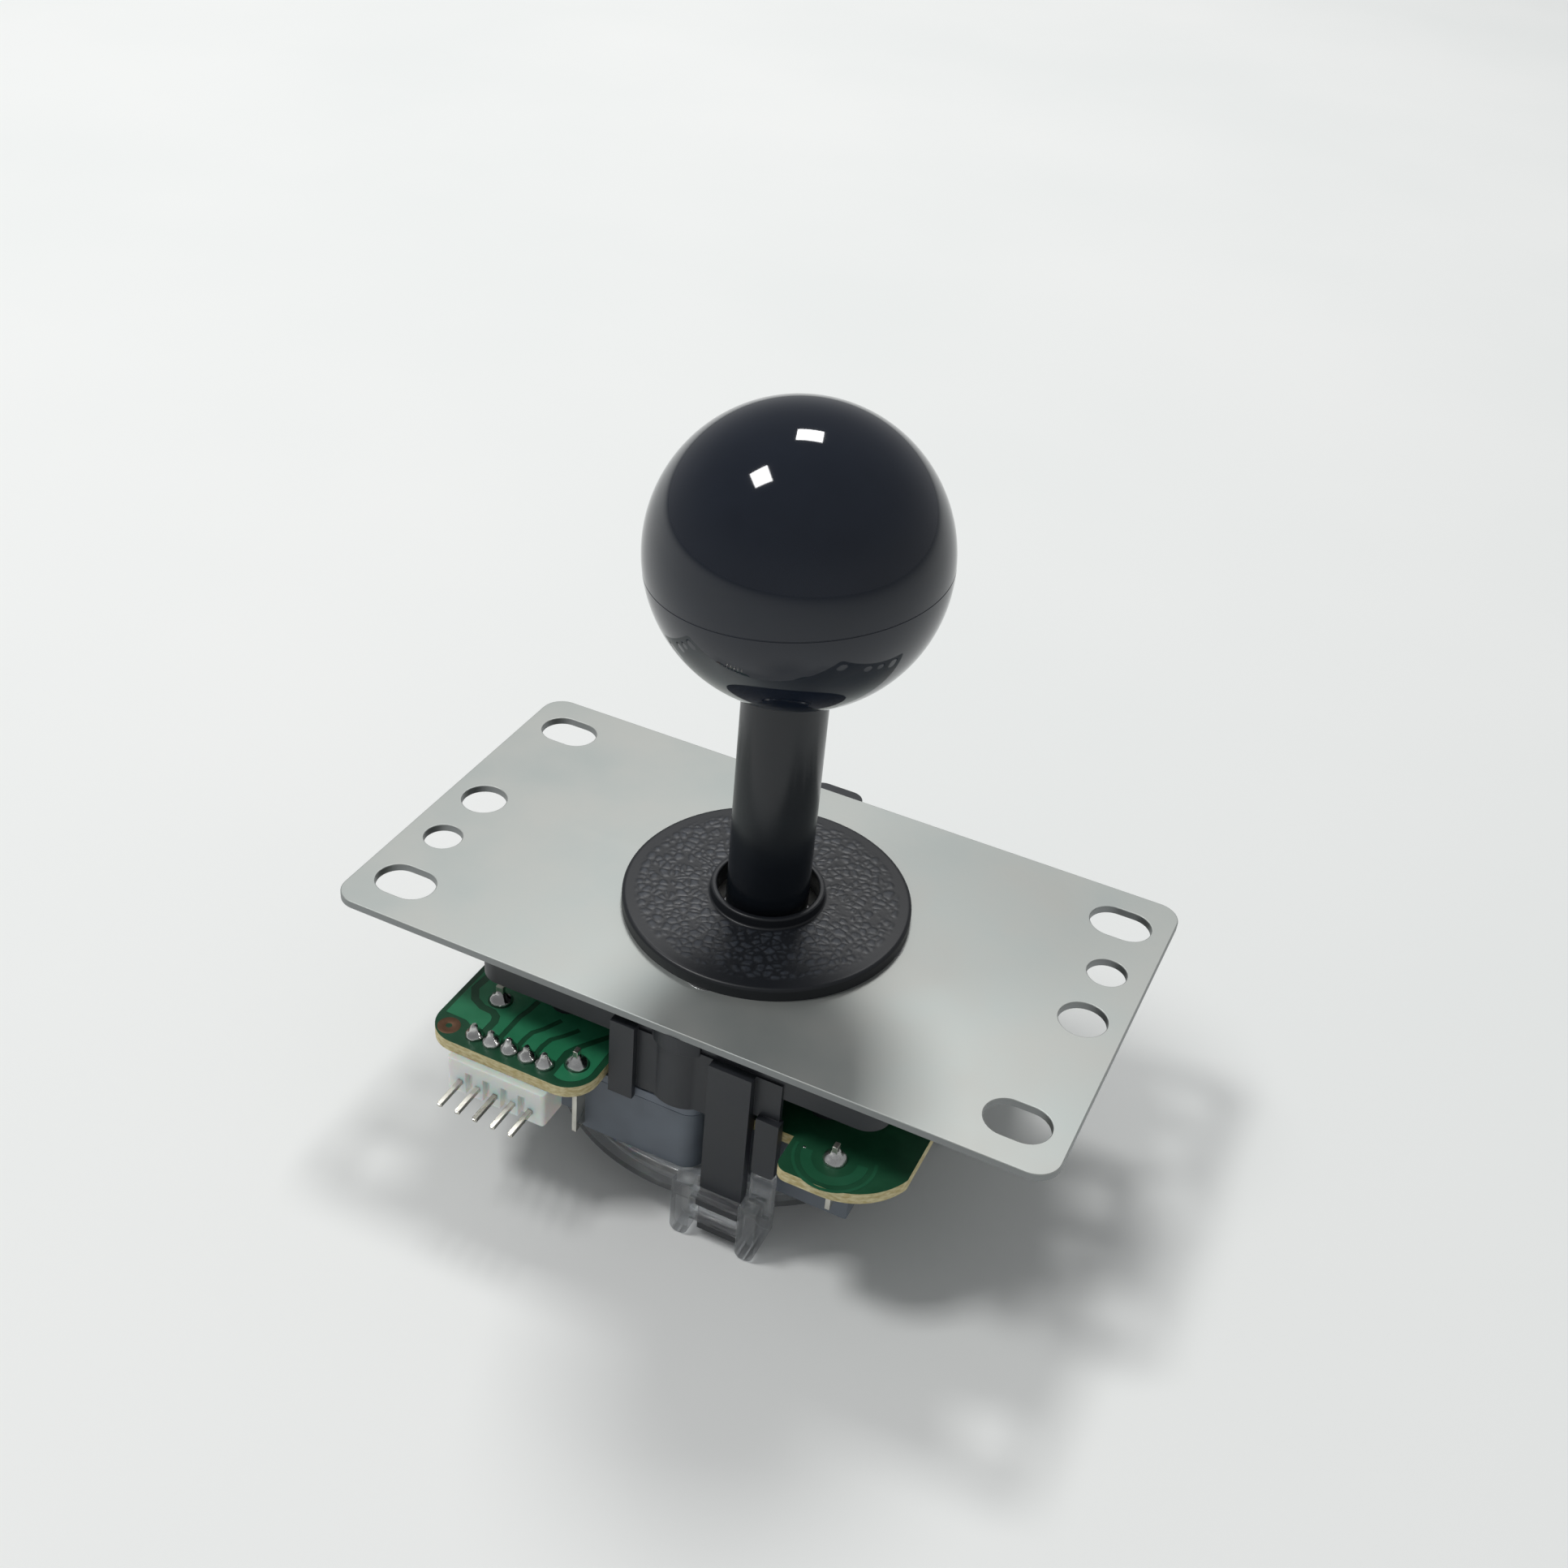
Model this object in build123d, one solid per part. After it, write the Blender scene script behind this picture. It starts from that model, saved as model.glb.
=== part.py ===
# Arcade joystick lever: ball top, sleeved shaft, dust washer, steel mounting plate, plastic
# housing with a ball pivot, four microswitches on a circuit board, and a clear gate below.
# Frame: origin at the centre of the plate's top face, on the lever's axis. X runs along the
# plate's long side, Z runs up to the ball. All sizes are in millimetres.
import os
from math import cos, radians, sin, sqrt, tan

from build123d import *

# Mounting plate
plate_length = 95.0
plate_width = 53.0
plate_thickness = 1.0
plate_corner_radius = 3.1
plate_edge_radius = 0.15
slot_end_margin = 6.5
slot_side_margin = 6.75
slot_width = 5.8
slot_length = 8.0
large_hole_diameter = 6.0
small_hole_diameter = 5.0
side_hole_margin = 5.2
small_hole_offset = 9.65
plate_opening_clearance = 1.2

# Plate screws, countersunk flush
screw_circle_radius = 15.75
screw_diameter = 3.0
screw_head_diameter = 6.0
screw_head_height = 1.2
screw_length = 8.0
screw_recess_width = 0.7
screw_recess_length = 3.6
screw_recess_depth = 0.8

# Lever motion
pivot_depth = 3.5
tilt_limit = 6.5

# Ball pivot
pivot_radius = 9.0
pivot_clearance = 0.12
pivot_top_rise = 1.8
pivot_bottom_drop = 6.3

# Shaft, sleeve and ball
shaft_upper_diameter = 8.0
shaft_lower_diameter = 6.0
shaft_thread_diameter = 6.0
shaft_end_depth = 31.0
shaft_shoulder_diameter = 10.2
shaft_shoulder_height = 1.2
shaft_chamfer = 0.6
shaft_slot_width = 0.9
shaft_slot_depth = 0.8
running_clearance = 0.05
sleeve_diameter = 10.5
sleeve_clearance = 0.15
ball_diameter = 35.0
ball_centre_height = 50.0
ball_flat_diameter = 11.0
ball_seam_height = -0.7
ball_seam_size = 0.12
insert_diameter = 10.0
insert_length = 14.0
insert_depth = 1.2
insert_end_wall = 0.5
ball_mouth_clearance = 0.3
thrust_washer_diameter = 11.2
thrust_washer_thickness = 0.8
retaining_ring_diameter = 10.5
retaining_ring_thickness = 0.8
retaining_groove_diameter = 4.6
retaining_ring_mouth = 4.0
retaining_hole_radius = 0.7
retaining_hole_place = 0.72

# Dust washer
dust_washer_diameter = 36.7
dust_washer_height = 1.75
dust_washer_wall = 1.0
dust_washer_rim_width = 2.4
dust_washer_play = 2.4
dust_washer_collar_wall = 0.8
dust_washer_collar_height = 3.2
dust_washer_hub_lift = 0.4
dust_washer_edge_radius = 0.45

# Housing, with its latch tongues at one reach from the axis on all four sides
latch_reach = 25.2
housing_end_margin = 2.0
housing_corner_radius = 3.0
deck_thickness = 2.2
skirt_height = 4.2
skirt_wall = 2.0
seat_boss_radius = 12.0
seat_boss_depth = 10.0
screw_boss_radius = 3.9
screw_boss_depth = 9.4
rib_width = 1.6
rib_depth = 8.4
board_pad_radius = 2.4
board_pad_reach = 18.0
round_boss_radius = 4.85
round_boss_offset = 1.0
round_boss_back = 3.7
round_boss_gap = 1.7
round_boss_clearance = 0.2
boss_collar_reach = 0.3
boss_collar_depth = 3.4
back_tab_left = -6.4
back_tab_right = 1.4
back_tab_reach = 4.0
back_tab_thickness = 2.2
back_tab_round = 2.0
apron_thickness = 0.8
apron_end_inset = 0.4
apron_end_depth = 9.2
leg_depth = 17.8
leg_round = 0.7
clip_left = -7.5
clip_right = -4.2
clip_top_depth = 2.3
clip_depth = 13.8
clip_thickness = 0.8
clip_clearance = 0.1
root_overlap = 0.5
tongue_left = 5.8
tongue_width = 5.6
tongue_thickness = 1.5
tongue_top_depth = 3.0
tongue_depth = 31.0
tongue_hook_reach = 0.9
tongue_hook_land = 0.09

# Circuit board
board_top_depth = 11.0
board_thickness = 1.6
board_side_margin = 5.7
board_front_margin = 2.3
board_lobe_margin = 4.9
board_corner_radius = 4.0
board_lobe_radius = 9.1
board_lobe_overhang = 0.6
board_notch_round = 1.5
board_notch_left = -8.3
board_notch_right = 16.5
board_notch_clearance = 0.6
board_hole_radius = 12.6

# Microswitches
switch_length = 27.8
switch_width = 15.9
switch_height = 10.3
switch_end_reach = 4.6
switch_face_reach = 9.7
switch_wall = 1.2
switch_cover_thickness = 1.3
switch_corner_radius = 2.5
switch_recess_length = 11.9
switch_recess_depth = 1.8
switch_hole_radius = 1.55
switch_hole_inset = 2.8
switch_hole_side_inset = 2.9
switch_hole_spacing = 22.2
plunger_x = 0.0
plunger_width = 2.8
plunger_clearance = 0.1
plunger_stem_length = 7.0
plunger_flange_reach = 0.8
plunger_flange_rise = 0.4
plunger_flange_thickness = 1.2
plunger_travel_gap = 2.0
plunger_tip_radius = 1.1
arm_hinge_x = -17.7
arm_tip_x = 4.4
arm_width = 3.4
arm_thickness = 0.3
arm_gap = 0.75
arm_angle = 3.0
arm_pin_radius = 0.5
arm_contact_clearance = 0.12
arm_roll_wall = 0.35
arm_strip_start = 0.2
arm_ear_thickness = 0.8
arm_ear_gap = 0.15
arm_ear_half_length = 1.4
arm_ear_reach = 0.9
arm_ear_root = 0.5

# Terminals and solder
terminal_thickness = 0.65
terminal_tail_width = 1.0
terminal_tail_top = 8.6
terminal_inset = 0.9
terminal_floor = 0.7
terminal_rise = 1.2
terminal_drop = 1.4
outer_terminal_x = -11.5
outer_terminal_reach = 1.5
end_terminal_reach = 2.3
end_terminal_y = -22.2
solder_radius = 1.3
solder_height = 1.4
solder_top_radius = 0.62
pin_solder_radius = 1.04
pin_solder_top_radius = 0.5

# Connector header
pin_count = 5
pin_pitch = 2.5
header_terminal_gap = 1.4
pin_row_margin = 4.0
pin_size = 0.64
pin_depth = 16.0
pin_reach = 8.0
pin_bevel = 0.25
pin_top_bevel = 0.15
pin_top_depth = 9.1
header_front_margin = 3.3
header_back_margin = 1.3
header_bottom_depth = 17.8
header_margin = 1.9
header_edge_radius = 0.5
header_notch_width = 1.0
header_notch_depth = 1.0
header_notch_drop = 1.6

# Clear gate and its insert
gate_edge_margin = 1.2
gate_thickness = 2.0
gate_rim_width = 2.0
gate_rim_depth = 27.0
gate_hole_radius = 12.6
gate_ledge_radius = 14.2
gate_ledge_depth = 1.0
insert_fit = 0.15
insert_boss_drop = 0.6
tongue_clearance = 0.25
gate_opening_clearance = 0.22
gate_opening_corner = 6.0
lug_width = 2.5
lug_back_margin = 0.6
lug_right_back_margin = 3.2
lug_front_margin = 1.1
lug_round = 1.15
lug_left_gap = 0.8
lug_right_gap = 0.2
bar_back_gap = 0.1
bar_thickness = 1.0
upper_bar_top = 23.4
upper_bar_bottom = 24.7
lower_bar_top = 26.8
lower_bar_bottom = 28.6
guide_gap = 0.8
guide_width = 3.0
guide_back_margin = 0.2
guide_thickness = 1.4
guide_top_clearance = 0.3
floor_depth = 32.0

# Actuator and return spring
actuator_diameter = 12.8
actuator_top_depth = 15.5
actuator_bottom_depth = 28.5
actuator_edge_radius = 0.5
spring_cup_diameter = 10.7
spring_cup_depth = 23.5
spring_wire = 0.9
spring_mean_diameter = 9.2
spring_turns = 6
spring_end_gap = 0.05
seat_top_gap = 0.85
seat_flat_radius = 4.0
seat_radius = 7.0
seat_thickness = 1.2
seat_hub_radius = 3.85
seat_hub_length = 2.4
seat_bore_clearance = 0.1
seat_spare_angle = 0.4

quarter_names = ["front", "right", "back", "left"]

# Derived sizes and places
slot_spacing_x = plate_length - 2 * slot_end_margin
slot_spacing_y = plate_width - 2 * slot_side_margin
side_hole_spacing = plate_length - 2 * side_hole_margin
dust_washer_bore_diameter = sleeve_diameter + dust_washer_play
dust_washer_collar_diameter = dust_washer_bore_diameter + 2 * dust_washer_collar_wall
housing_width = 2 * latch_reach
housing_length = 2 * (latch_reach + housing_end_margin)
tongue_right = tongue_left + tongue_width
tongue_back_y = -latch_reach
tongue_front_y = tongue_back_y - tongue_thickness
pin_row_y = -latch_reach - pin_row_margin
pin_tip_y = pin_row_y - pin_reach
header_front_y = pin_row_y - header_front_margin
header_back_y = pin_row_y + header_back_margin
board_notch_reach = latch_reach - board_notch_clearance
board_side_reach = latch_reach + board_side_margin
board_front_reach = board_front_margin - pin_row_y
last_pin_x = outer_terminal_x - header_terminal_gap - header_margin
first_pin_x = last_pin_x - (pin_count - 1) * pin_pitch
board_lobe_reach = latch_reach + board_lobe_margin
gate_radius = latch_reach + gate_edge_margin
lug_left_x = tongue_left - lug_left_gap - lug_width
lug_right_x = tongue_right + lug_right_gap
lug_back_y = tongue_back_y + lug_back_margin
lug_right_back_y = tongue_back_y + lug_right_back_margin
lug_front_y = tongue_front_y - lug_front_margin
guide_left_x = tongue_right + guide_gap
guide_right_x = guide_left_x + guide_width
guide_back_y = tongue_back_y + guide_back_margin
guide_front_y = guide_back_y - guide_thickness
switch_left = switch_end_reach - switch_length
switch_right = switch_end_reach
switch_inner_y = -switch_face_reach
switch_outer_y = switch_inner_y - switch_width
outer_terminal_y = switch_outer_y - outer_terminal_reach
end_terminal_x = switch_left - end_terminal_reach
arm_centre_y = -(actuator_diameter / 2 + arm_gap + arm_thickness / 2)
arm_hinge_y = arm_centre_y + arm_hinge_x * tan(radians(arm_angle))
plunger_tip_y = arm_centre_y - arm_thickness / 2 - arm_contact_clearance

# Derived levels
pivot_z = -pivot_depth
board_top_z = -board_top_depth
board_bottom_z = board_top_z - board_thickness
switch_top_z = board_bottom_z
switch_bottom_z = switch_top_z - switch_height
switch_middle_z = switch_top_z - switch_height / 2
gate_top_z = switch_bottom_z
gate_bottom_z = gate_top_z - gate_thickness
housing_top_z = -plate_thickness
deck_bottom_z = housing_top_z - deck_thickness
corner_tilt = sqrt(2) * tilt_limit
pivot_top_z = pivot_z + pivot_top_rise
shoulder_z = pivot_top_z + thrust_washer_thickness
sleeve_bottom_z = shoulder_z + shaft_shoulder_height
ball_flat_z = ball_centre_height - sqrt((ball_diameter / 2) ** 2 - (ball_flat_diameter / 2) ** 2)
ring_top_z = -actuator_bottom_depth
round_boss_bottom_z = switch_top_z + round_boss_clearance
cover_bottom_z = switch_top_z - switch_cover_thickness
seat_top_z = -seat_boss_depth - seat_top_gap
seat_bottom_z = seat_top_z - seat_thickness


def block(x0, x1, y0, y1, z0, z1):
    return Pos((x0 + x1) / 2, (y0 + y1) / 2, (z0 + z1) / 2) * Box(abs(x1 - x0), abs(y1 - y0), abs(z1 - z0))


def rod(radius, z0, z1, x=0.0, y=0.0):
    return Pos(x, y, (z0 + z1) / 2) * Cylinder(radius, abs(z1 - z0))


def turned(points):
    """A solid of revolution about the lever's axis from (radius, z) points."""
    return revolve(Plane.XZ * make_face(Polyline(*points, close=True)), Axis.Z)


def quarters(shape):
    """The front shape and its three copies at the right, the back and the left."""
    return [Rot(0, 0, 90 * k) * shape for k in range(4)]


def half_turns(shape):
    return [shape, Rot(0, 0, 180) * shape]


def cut(shape, tools):
    for tool in tools:
        shape = shape - tool
    return shape


def joined(shape, additions):
    for addition in additions:
        shape = shape + addition
    return shape


def vertical_edges(shape):
    return shape.edges().filter_by(Axis.Z)


def mounting_plate():
    face = RectangleRounded(plate_length, plate_width, plate_corner_radius)
    slot = SlotOverall(slot_length, slot_width)
    for x in (-slot_spacing_x / 2, slot_spacing_x / 2):
        for y in (-slot_spacing_y / 2, slot_spacing_y / 2):
            face -= Pos(x, y) * slot
    for side in (-1, 1):
        face -= Pos(side * side_hole_spacing / 2, 0) * Circle(large_hole_diameter / 2)
        face -= Pos(side * side_hole_spacing / 2, side * small_hole_offset) * Circle(small_hole_diameter / 2)
    face -= Circle(pivot_radius + plate_opening_clearance)
    plate = extrude(face, -plate_thickness)
    plate = fillet(plate.edges().group_by(Axis.Z)[-1], plate_edge_radius)
    return cut(plate, [screw_head_shape(x, y) for x, y in screw_places()])


def screw_places():
    return [(screw_circle_radius * sin(radians(90 * k)), -screw_circle_radius * cos(radians(90 * k)))
            for k in range(4)]


def screw_head_shape(x, y):
    return Pos(x, y, -screw_head_height / 2) * Cone(
        screw_diameter / 2, screw_head_diameter / 2, screw_head_height)


def plate_screws():
    screws = []
    for x, y in screw_places():
        screw = screw_head_shape(x, y) + rod(screw_diameter / 2, -screw_head_height, -screw_length, x, y)
        for angle in (0, 90):
            recess = Box(screw_recess_length, screw_recess_width, 2 * screw_recess_depth)
            screw -= Pos(x, y, 0) * (Rot(0, 0, angle) * recess)
        screws.append(screw)
    return screws


def housing():
    outline = RectangleRounded(housing_length, housing_width, housing_corner_radius)
    inside = RectangleRounded(housing_length - 2 * skirt_wall, housing_width - 2 * skirt_wall,
                              housing_corner_radius - skirt_wall / 2)
    body = Pos(0, 0, housing_top_z) * extrude(outline, -skirt_height)
    body -= Pos(0, 0, deck_bottom_z) * extrude(inside, -skirt_height)
    root_z = deck_bottom_z + root_overlap
    body += rod(seat_boss_radius, root_z, -seat_boss_depth)
    body = joined(body, [rod(screw_boss_radius, root_z, -screw_boss_depth, x, y) for x, y in screw_places()])
    rib_reach = board_pad_reach * sqrt(2)
    rib_start = seat_boss_radius - 2 * root_overlap
    rib = block(rib_start, rib_reach, -rib_width / 2, rib_width / 2, root_z, -rib_depth)
    pad = rod(board_pad_radius, root_z, board_top_z, rib_reach, 0)
    body = joined(body, [Rot(0, 0, 45) * part for part in quarters(rib + pad)])
    body += back_tab()
    body = joined(body, half_turns(apron()))
    body = joined(body, half_turns(round_boss()))
    body = joined(body, half_turns(board_clip()))
    body = joined(body, quarters(latch_tongue()))
    body -= Pos(0, 0, pivot_z) * Sphere(pivot_radius + pivot_clearance)
    body -= rod(pivot_radius + pivot_clearance, pivot_z, housing_top_z + 1)
    body = cut(body, [screw_head_shape(x, y) for x, y in screw_places()])
    return cut(body, [rod(screw_diameter / 2, housing_top_z + 1, -screw_boss_depth - 1, x, y)
                      for x, y in screw_places()])


def back_tab():
    """Rounded tab that shows behind the plate's back edge."""
    tab = block(back_tab_left, back_tab_right, latch_reach - root_overlap, latch_reach + back_tab_reach,
                housing_top_z, housing_top_z - back_tab_thickness)
    outer_edges = vertical_edges(tab).group_by(Axis.Y)[-1]
    return fillet(outer_edges, back_tab_round)


def apron():
    """Wall that hangs before the board's edge, with a leg at its short end above the gate's guide."""
    back_y = tongue_back_y + root_overlap
    front_y = back_y - apron_thickness
    wall = block(clip_right - root_overlap, tongue_right, back_y, front_y, -tongue_top_depth,
                 round_boss_bottom_z)
    end = block(tongue_right - root_overlap, guide_right_x - apron_end_inset, back_y, front_y,
                -tongue_top_depth, -apron_end_depth)
    leg = block(guide_left_x, guide_right_x, guide_back_y, guide_front_y,
                root_overlap - apron_end_depth, -leg_depth)
    return wall + end + fillet(leg.edges().filter_by(Axis.Y).group_by(Axis.Z)[0], leg_round)


def round_boss():
    boss_y = tongue_back_y + round_boss_back
    boss = rod(round_boss_radius, housing_top_z, round_boss_bottom_z, round_boss_offset, boss_y)
    boss += rod(round_boss_radius + boss_collar_reach, housing_top_z, -boss_collar_depth,
                round_boss_offset, boss_y)
    keep = block(-round_boss_radius * 2, tongue_left - round_boss_gap, tongue_back_y + root_overlap,
                 tongue_back_y - round_boss_radius, 1, round_boss_bottom_z - 1)
    return boss & keep


def board_clip():
    clip_back_y = switch_outer_y - clip_clearance
    clip_front_y = clip_back_y - clip_thickness
    step_z = board_bottom_z + clip_clearance
    upper = block(clip_left, clip_right, tongue_back_y + root_overlap, clip_front_y, -clip_top_depth, step_z)
    spring_leg = block(clip_left, clip_right, clip_back_y, clip_front_y, -clip_top_depth, -clip_depth)
    return upper + spring_leg


def latch_tongue():
    tongue = block(tongue_left, tongue_right, tongue_back_y, tongue_front_y, -tongue_top_depth, -tongue_depth)
    hook_top = upper_bar_bottom + bar_back_gap
    hook_bottom = lower_bar_top - bar_back_gap
    hook = block(tongue_left, tongue_right, tongue_front_y, tongue_front_y - tongue_hook_reach,
                 -hook_top, -hook_bottom)
    ramp_edge = hook.edges().filter_by(Axis.X).group_by(Axis.Z)[0].sort_by(Axis.Y)[0]
    return tongue + chamfer(ramp_edge, tongue_hook_reach - tongue_hook_land)


def dust_washer():
    outer = dust_washer_diameter / 2
    collar = dust_washer_collar_diameter / 2
    bore = dust_washer_bore_diameter / 2
    hub = collar + dust_washer_wall
    web = dust_washer_height - dust_washer_wall
    washer = turned([
        (bore, dust_washer_hub_lift), (hub, dust_washer_hub_lift), (hub, web),
        (outer - dust_washer_rim_width, web), (outer - dust_washer_rim_width, 0), (outer, 0),
        (outer, dust_washer_height), (collar, dust_washer_height),
        (collar, dust_washer_collar_height), (bore, dust_washer_collar_height)])
    rims = [e for e in washer.edges().filter_by(GeomType.CIRCLE)
            if abs(e.center().Z - dust_washer_height) < 0.01 and e.radius > outer - 0.01]
    return fillet(rims, dust_washer_edge_radius)


def pivot():
    ball = Pos(0, 0, pivot_z) * Sphere(pivot_radius)
    ball &= rod(2 * pivot_radius, pivot_top_z, pivot_z - pivot_bottom_drop)
    return ball - rod(shaft_lower_diameter / 2 + running_clearance, pivot_top_z + 1,
                      pivot_z - pivot_bottom_drop - 1)


def spring_seat():
    slope = tan(radians(corner_tilt + seat_spare_angle)) * (seat_radius - seat_flat_radius)
    seat = turned([
        (0, seat_top_z), (seat_flat_radius, seat_top_z), (seat_radius, seat_top_z - slope),
        (seat_radius, seat_bottom_z), (seat_hub_radius, seat_bottom_z),
        (seat_hub_radius, seat_bottom_z - seat_hub_length), (0, seat_bottom_z - seat_hub_length)])
    return seat - rod(shaft_lower_diameter / 2 + seat_bore_clearance, seat_top_z + 1,
                      seat_bottom_z - seat_hub_length - 1)


def return_spring():
    wire = spring_wire / 2
    top = seat_bottom_z - spring_end_gap - wire
    bottom = -spring_cup_depth + spring_end_gap + wire
    height = top - bottom
    coil = Helix(height / spring_turns, height, spring_mean_diameter / 2, center=(0, 0, bottom))
    section = Plane(origin=coil @ 0, z_dir=coil % 0) * Circle(wire)
    return sweep(section, path=coil, is_frenet=True)


def actuator():
    radius = actuator_diameter / 2
    body = rod(radius, -actuator_top_depth, -actuator_bottom_depth)
    body = fillet(body.edges().filter_by(GeomType.CIRCLE), actuator_edge_radius)
    body -= rod(spring_cup_diameter / 2, 0, -spring_cup_depth)
    return body - rod(shaft_lower_diameter / 2, 0, -actuator_bottom_depth - 1)


def shaft():
    lower = shaft_lower_diameter / 2
    upper = shaft_upper_diameter / 2
    shoulder = shaft_shoulder_diameter / 2
    groove = retaining_groove_diameter / 2
    thread = shaft_thread_diameter / 2
    end_z = -shaft_end_depth
    groove_z = ring_top_z - retaining_ring_thickness
    thread_top = ball_flat_z + insert_depth + insert_length - insert_end_wall
    points = [
        (0, end_z), (lower - shaft_chamfer, end_z), (lower, end_z + shaft_chamfer),
        (lower, groove_z), (groove, groove_z), (groove, ring_top_z), (lower, ring_top_z),
        (lower, shoulder_z), (shoulder, shoulder_z), (shoulder, sleeve_bottom_z),
        (upper, sleeve_bottom_z), (upper, ball_flat_z), (thread, ball_flat_z),
        (thread, thread_top - shaft_chamfer), (thread - shaft_chamfer, thread_top), (0, thread_top)]
    slot = Pos(0, 0, -shaft_end_depth) * Box(2 * lower + 1, shaft_slot_width, 2 * shaft_slot_depth)
    return turned(points) - slot


def shaft_sleeve():
    tube = rod(sleeve_diameter / 2, sleeve_bottom_z, ball_flat_z - running_clearance)
    return tube - rod(shaft_upper_diameter / 2 + sleeve_clearance, sleeve_bottom_z - 1, ball_flat_z + 1)


def thrust_washer():
    ring = rod(thrust_washer_diameter / 2, pivot_top_z, shoulder_z)
    return ring - rod(shaft_lower_diameter / 2, pivot_top_z - 1, shoulder_z + 1)


def retaining_ring():
    bottom = ring_top_z - retaining_ring_thickness
    ring = rod(retaining_ring_diameter / 2, ring_top_z, bottom)
    ring -= rod(retaining_groove_diameter / 2, ring_top_z + 1, bottom - 1)
    mouth = block(-retaining_ring_mouth / 2, retaining_ring_mouth / 2, 0, -retaining_ring_diameter,
                  ring_top_z + 1, bottom - 1)
    ring -= mouth
    hole_circle = retaining_ring_diameter / 2 * retaining_hole_place
    holes = [rod(retaining_hole_radius, ring_top_z + 1, bottom - 1, hole_circle * cos(radians(angle)),
                 hole_circle * sin(radians(angle))) for angle in (45, 135, 225, 315)]
    return cut(ring, holes)


def ball_top():
    radius = ball_diameter / 2
    ball = Pos(0, 0, ball_centre_height) * Sphere(radius)
    ball -= rod(radius, ball_flat_z, ball_flat_z - radius)
    seam_radius = sqrt(radius ** 2 - ball_seam_height ** 2)
    groove = Pos(0, 0, ball_centre_height + ball_seam_height) * Torus(seam_radius, ball_seam_size)
    ball -= groove
    bottom = ball_flat_z + insert_depth
    ball -= rod(shaft_thread_diameter / 2 + ball_mouth_clearance, ball_flat_z - 1, bottom + 1)
    return ball - rod(insert_diameter / 2, bottom, bottom + insert_length)


def ball_insert():
    bottom = ball_flat_z + insert_depth
    insert = rod(insert_diameter / 2, bottom, bottom + insert_length)
    return insert - rod(shaft_thread_diameter / 2, bottom - 1, bottom + insert_length - insert_end_wall)


def board_outline():
    """The board seen from above: four lobes between the notches that the housing passes through."""
    left, right = -board_side_reach, board_side_reach
    face = Rectangle(2 * board_side_reach, 2 * board_lobe_reach)
    lobe = Pos((left + board_notch_left) / 2, -(board_front_reach + board_notch_reach) / 2) * Rectangle(
        board_notch_left - left, board_front_reach - board_notch_reach)
    face += lobe
    notch_width = board_notch_right - board_notch_left
    notch_depth = board_front_reach - board_notch_reach
    notch = Pos((board_notch_left + board_notch_right) / 2,
                -board_notch_reach - notch_depth / 2) * Rectangle(notch_width, notch_depth)
    for k in range(4):
        face -= Rot(0, 0, 90 * k) * notch
    face -= Circle(board_hole_radius)
    lobe_corners = [v for v in face.vertices()
                    if abs(v.Y + board_front_reach) < 0.01 and v.X < board_notch_left + 0.01]
    face = fillet(lobe_corners, board_corner_radius)
    rounded = RectangleRounded(2 * (right + board_lobe_overhang), 2 * board_lobe_reach, board_lobe_radius)
    rounded += Pos((left + board_notch_left) / 2, -board_front_reach / 2) * Rectangle(
        board_notch_left - left, board_front_reach)
    face = face & rounded
    notch_ends = (board_notch_right, -board_notch_left)
    notch_corners = [v for v in face.vertices() if abs(abs(v.Y) - board_lobe_reach) < 0.01
                     and min(abs(abs(v.X) - end) for end in notch_ends) < 0.01]
    return fillet(notch_corners, board_notch_round)


def tail_places():
    """Where the terminals' tails pass through the board, with the turn of each about Z."""
    places = []
    for k in range(4):
        for x, y, turn in ((outer_terminal_x, outer_terminal_y, 0), (end_terminal_x, end_terminal_y, 90)):
            angle = radians(90 * k)
            places.append((x * cos(angle) - y * sin(angle), x * sin(angle) + y * cos(angle), turn + 90 * k))
    return places


def pin_places():
    return [(first_pin_x + k * pin_pitch, pin_row_y) for k in range(pin_count)]


def tail(x, y, turn, z0, z1):
    bar = Box(terminal_thickness, terminal_tail_width, z0 - z1)
    return Pos(x, y, (z0 + z1) / 2) * (Rot(0, 0, turn) * bar)


def circuit_board():
    board = Pos(0, 0, board_bottom_z) * extrude(board_outline(), board_thickness)
    holes = [tail(x, y, turn, board_top_z + 1, board_bottom_z - 1) for x, y, turn in tail_places()]
    holes += [block(x - pin_size / 2, x + pin_size / 2, y - pin_size / 2, y + pin_size / 2,
                    board_top_z + 1, board_bottom_z - 1) for x, y in pin_places()]
    return cut(board, holes)


def solder_joints():
    joints = []
    middle = board_top_z + solder_height / 2
    for x, y, turn in tail_places():
        cone = Pos(x, y, middle) * Cone(solder_radius, solder_top_radius, solder_height)
        joints.append(cone - tail(x, y, turn, board_top_z + 2, board_top_z - 1))
    for x, y in pin_places():
        cone = Pos(x, y, middle) * Cone(pin_solder_radius, pin_solder_top_radius, solder_height)
        joints.append(cone - block(x - pin_size / 2, x + pin_size / 2, y - pin_size / 2, y + pin_size / 2,
                                   board_top_z + 2, board_top_z - 1))
    return joints


def header_pins():
    pins = []
    half = pin_size / 2
    for x, y in pin_places():
        upright = block(x - half, x + half, y - half, y + half, -pin_top_depth, -pin_depth + half)
        upright = chamfer(upright.edges().group_by(Axis.Z)[-1], pin_top_bevel)
        level = block(x - half, x + half, y + half, pin_tip_y, -pin_depth + half, -pin_depth - half)
        level = chamfer(level.edges().group_by(Axis.Y)[0], pin_bevel)
        pins.append(upright + level)
    return pins


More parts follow.
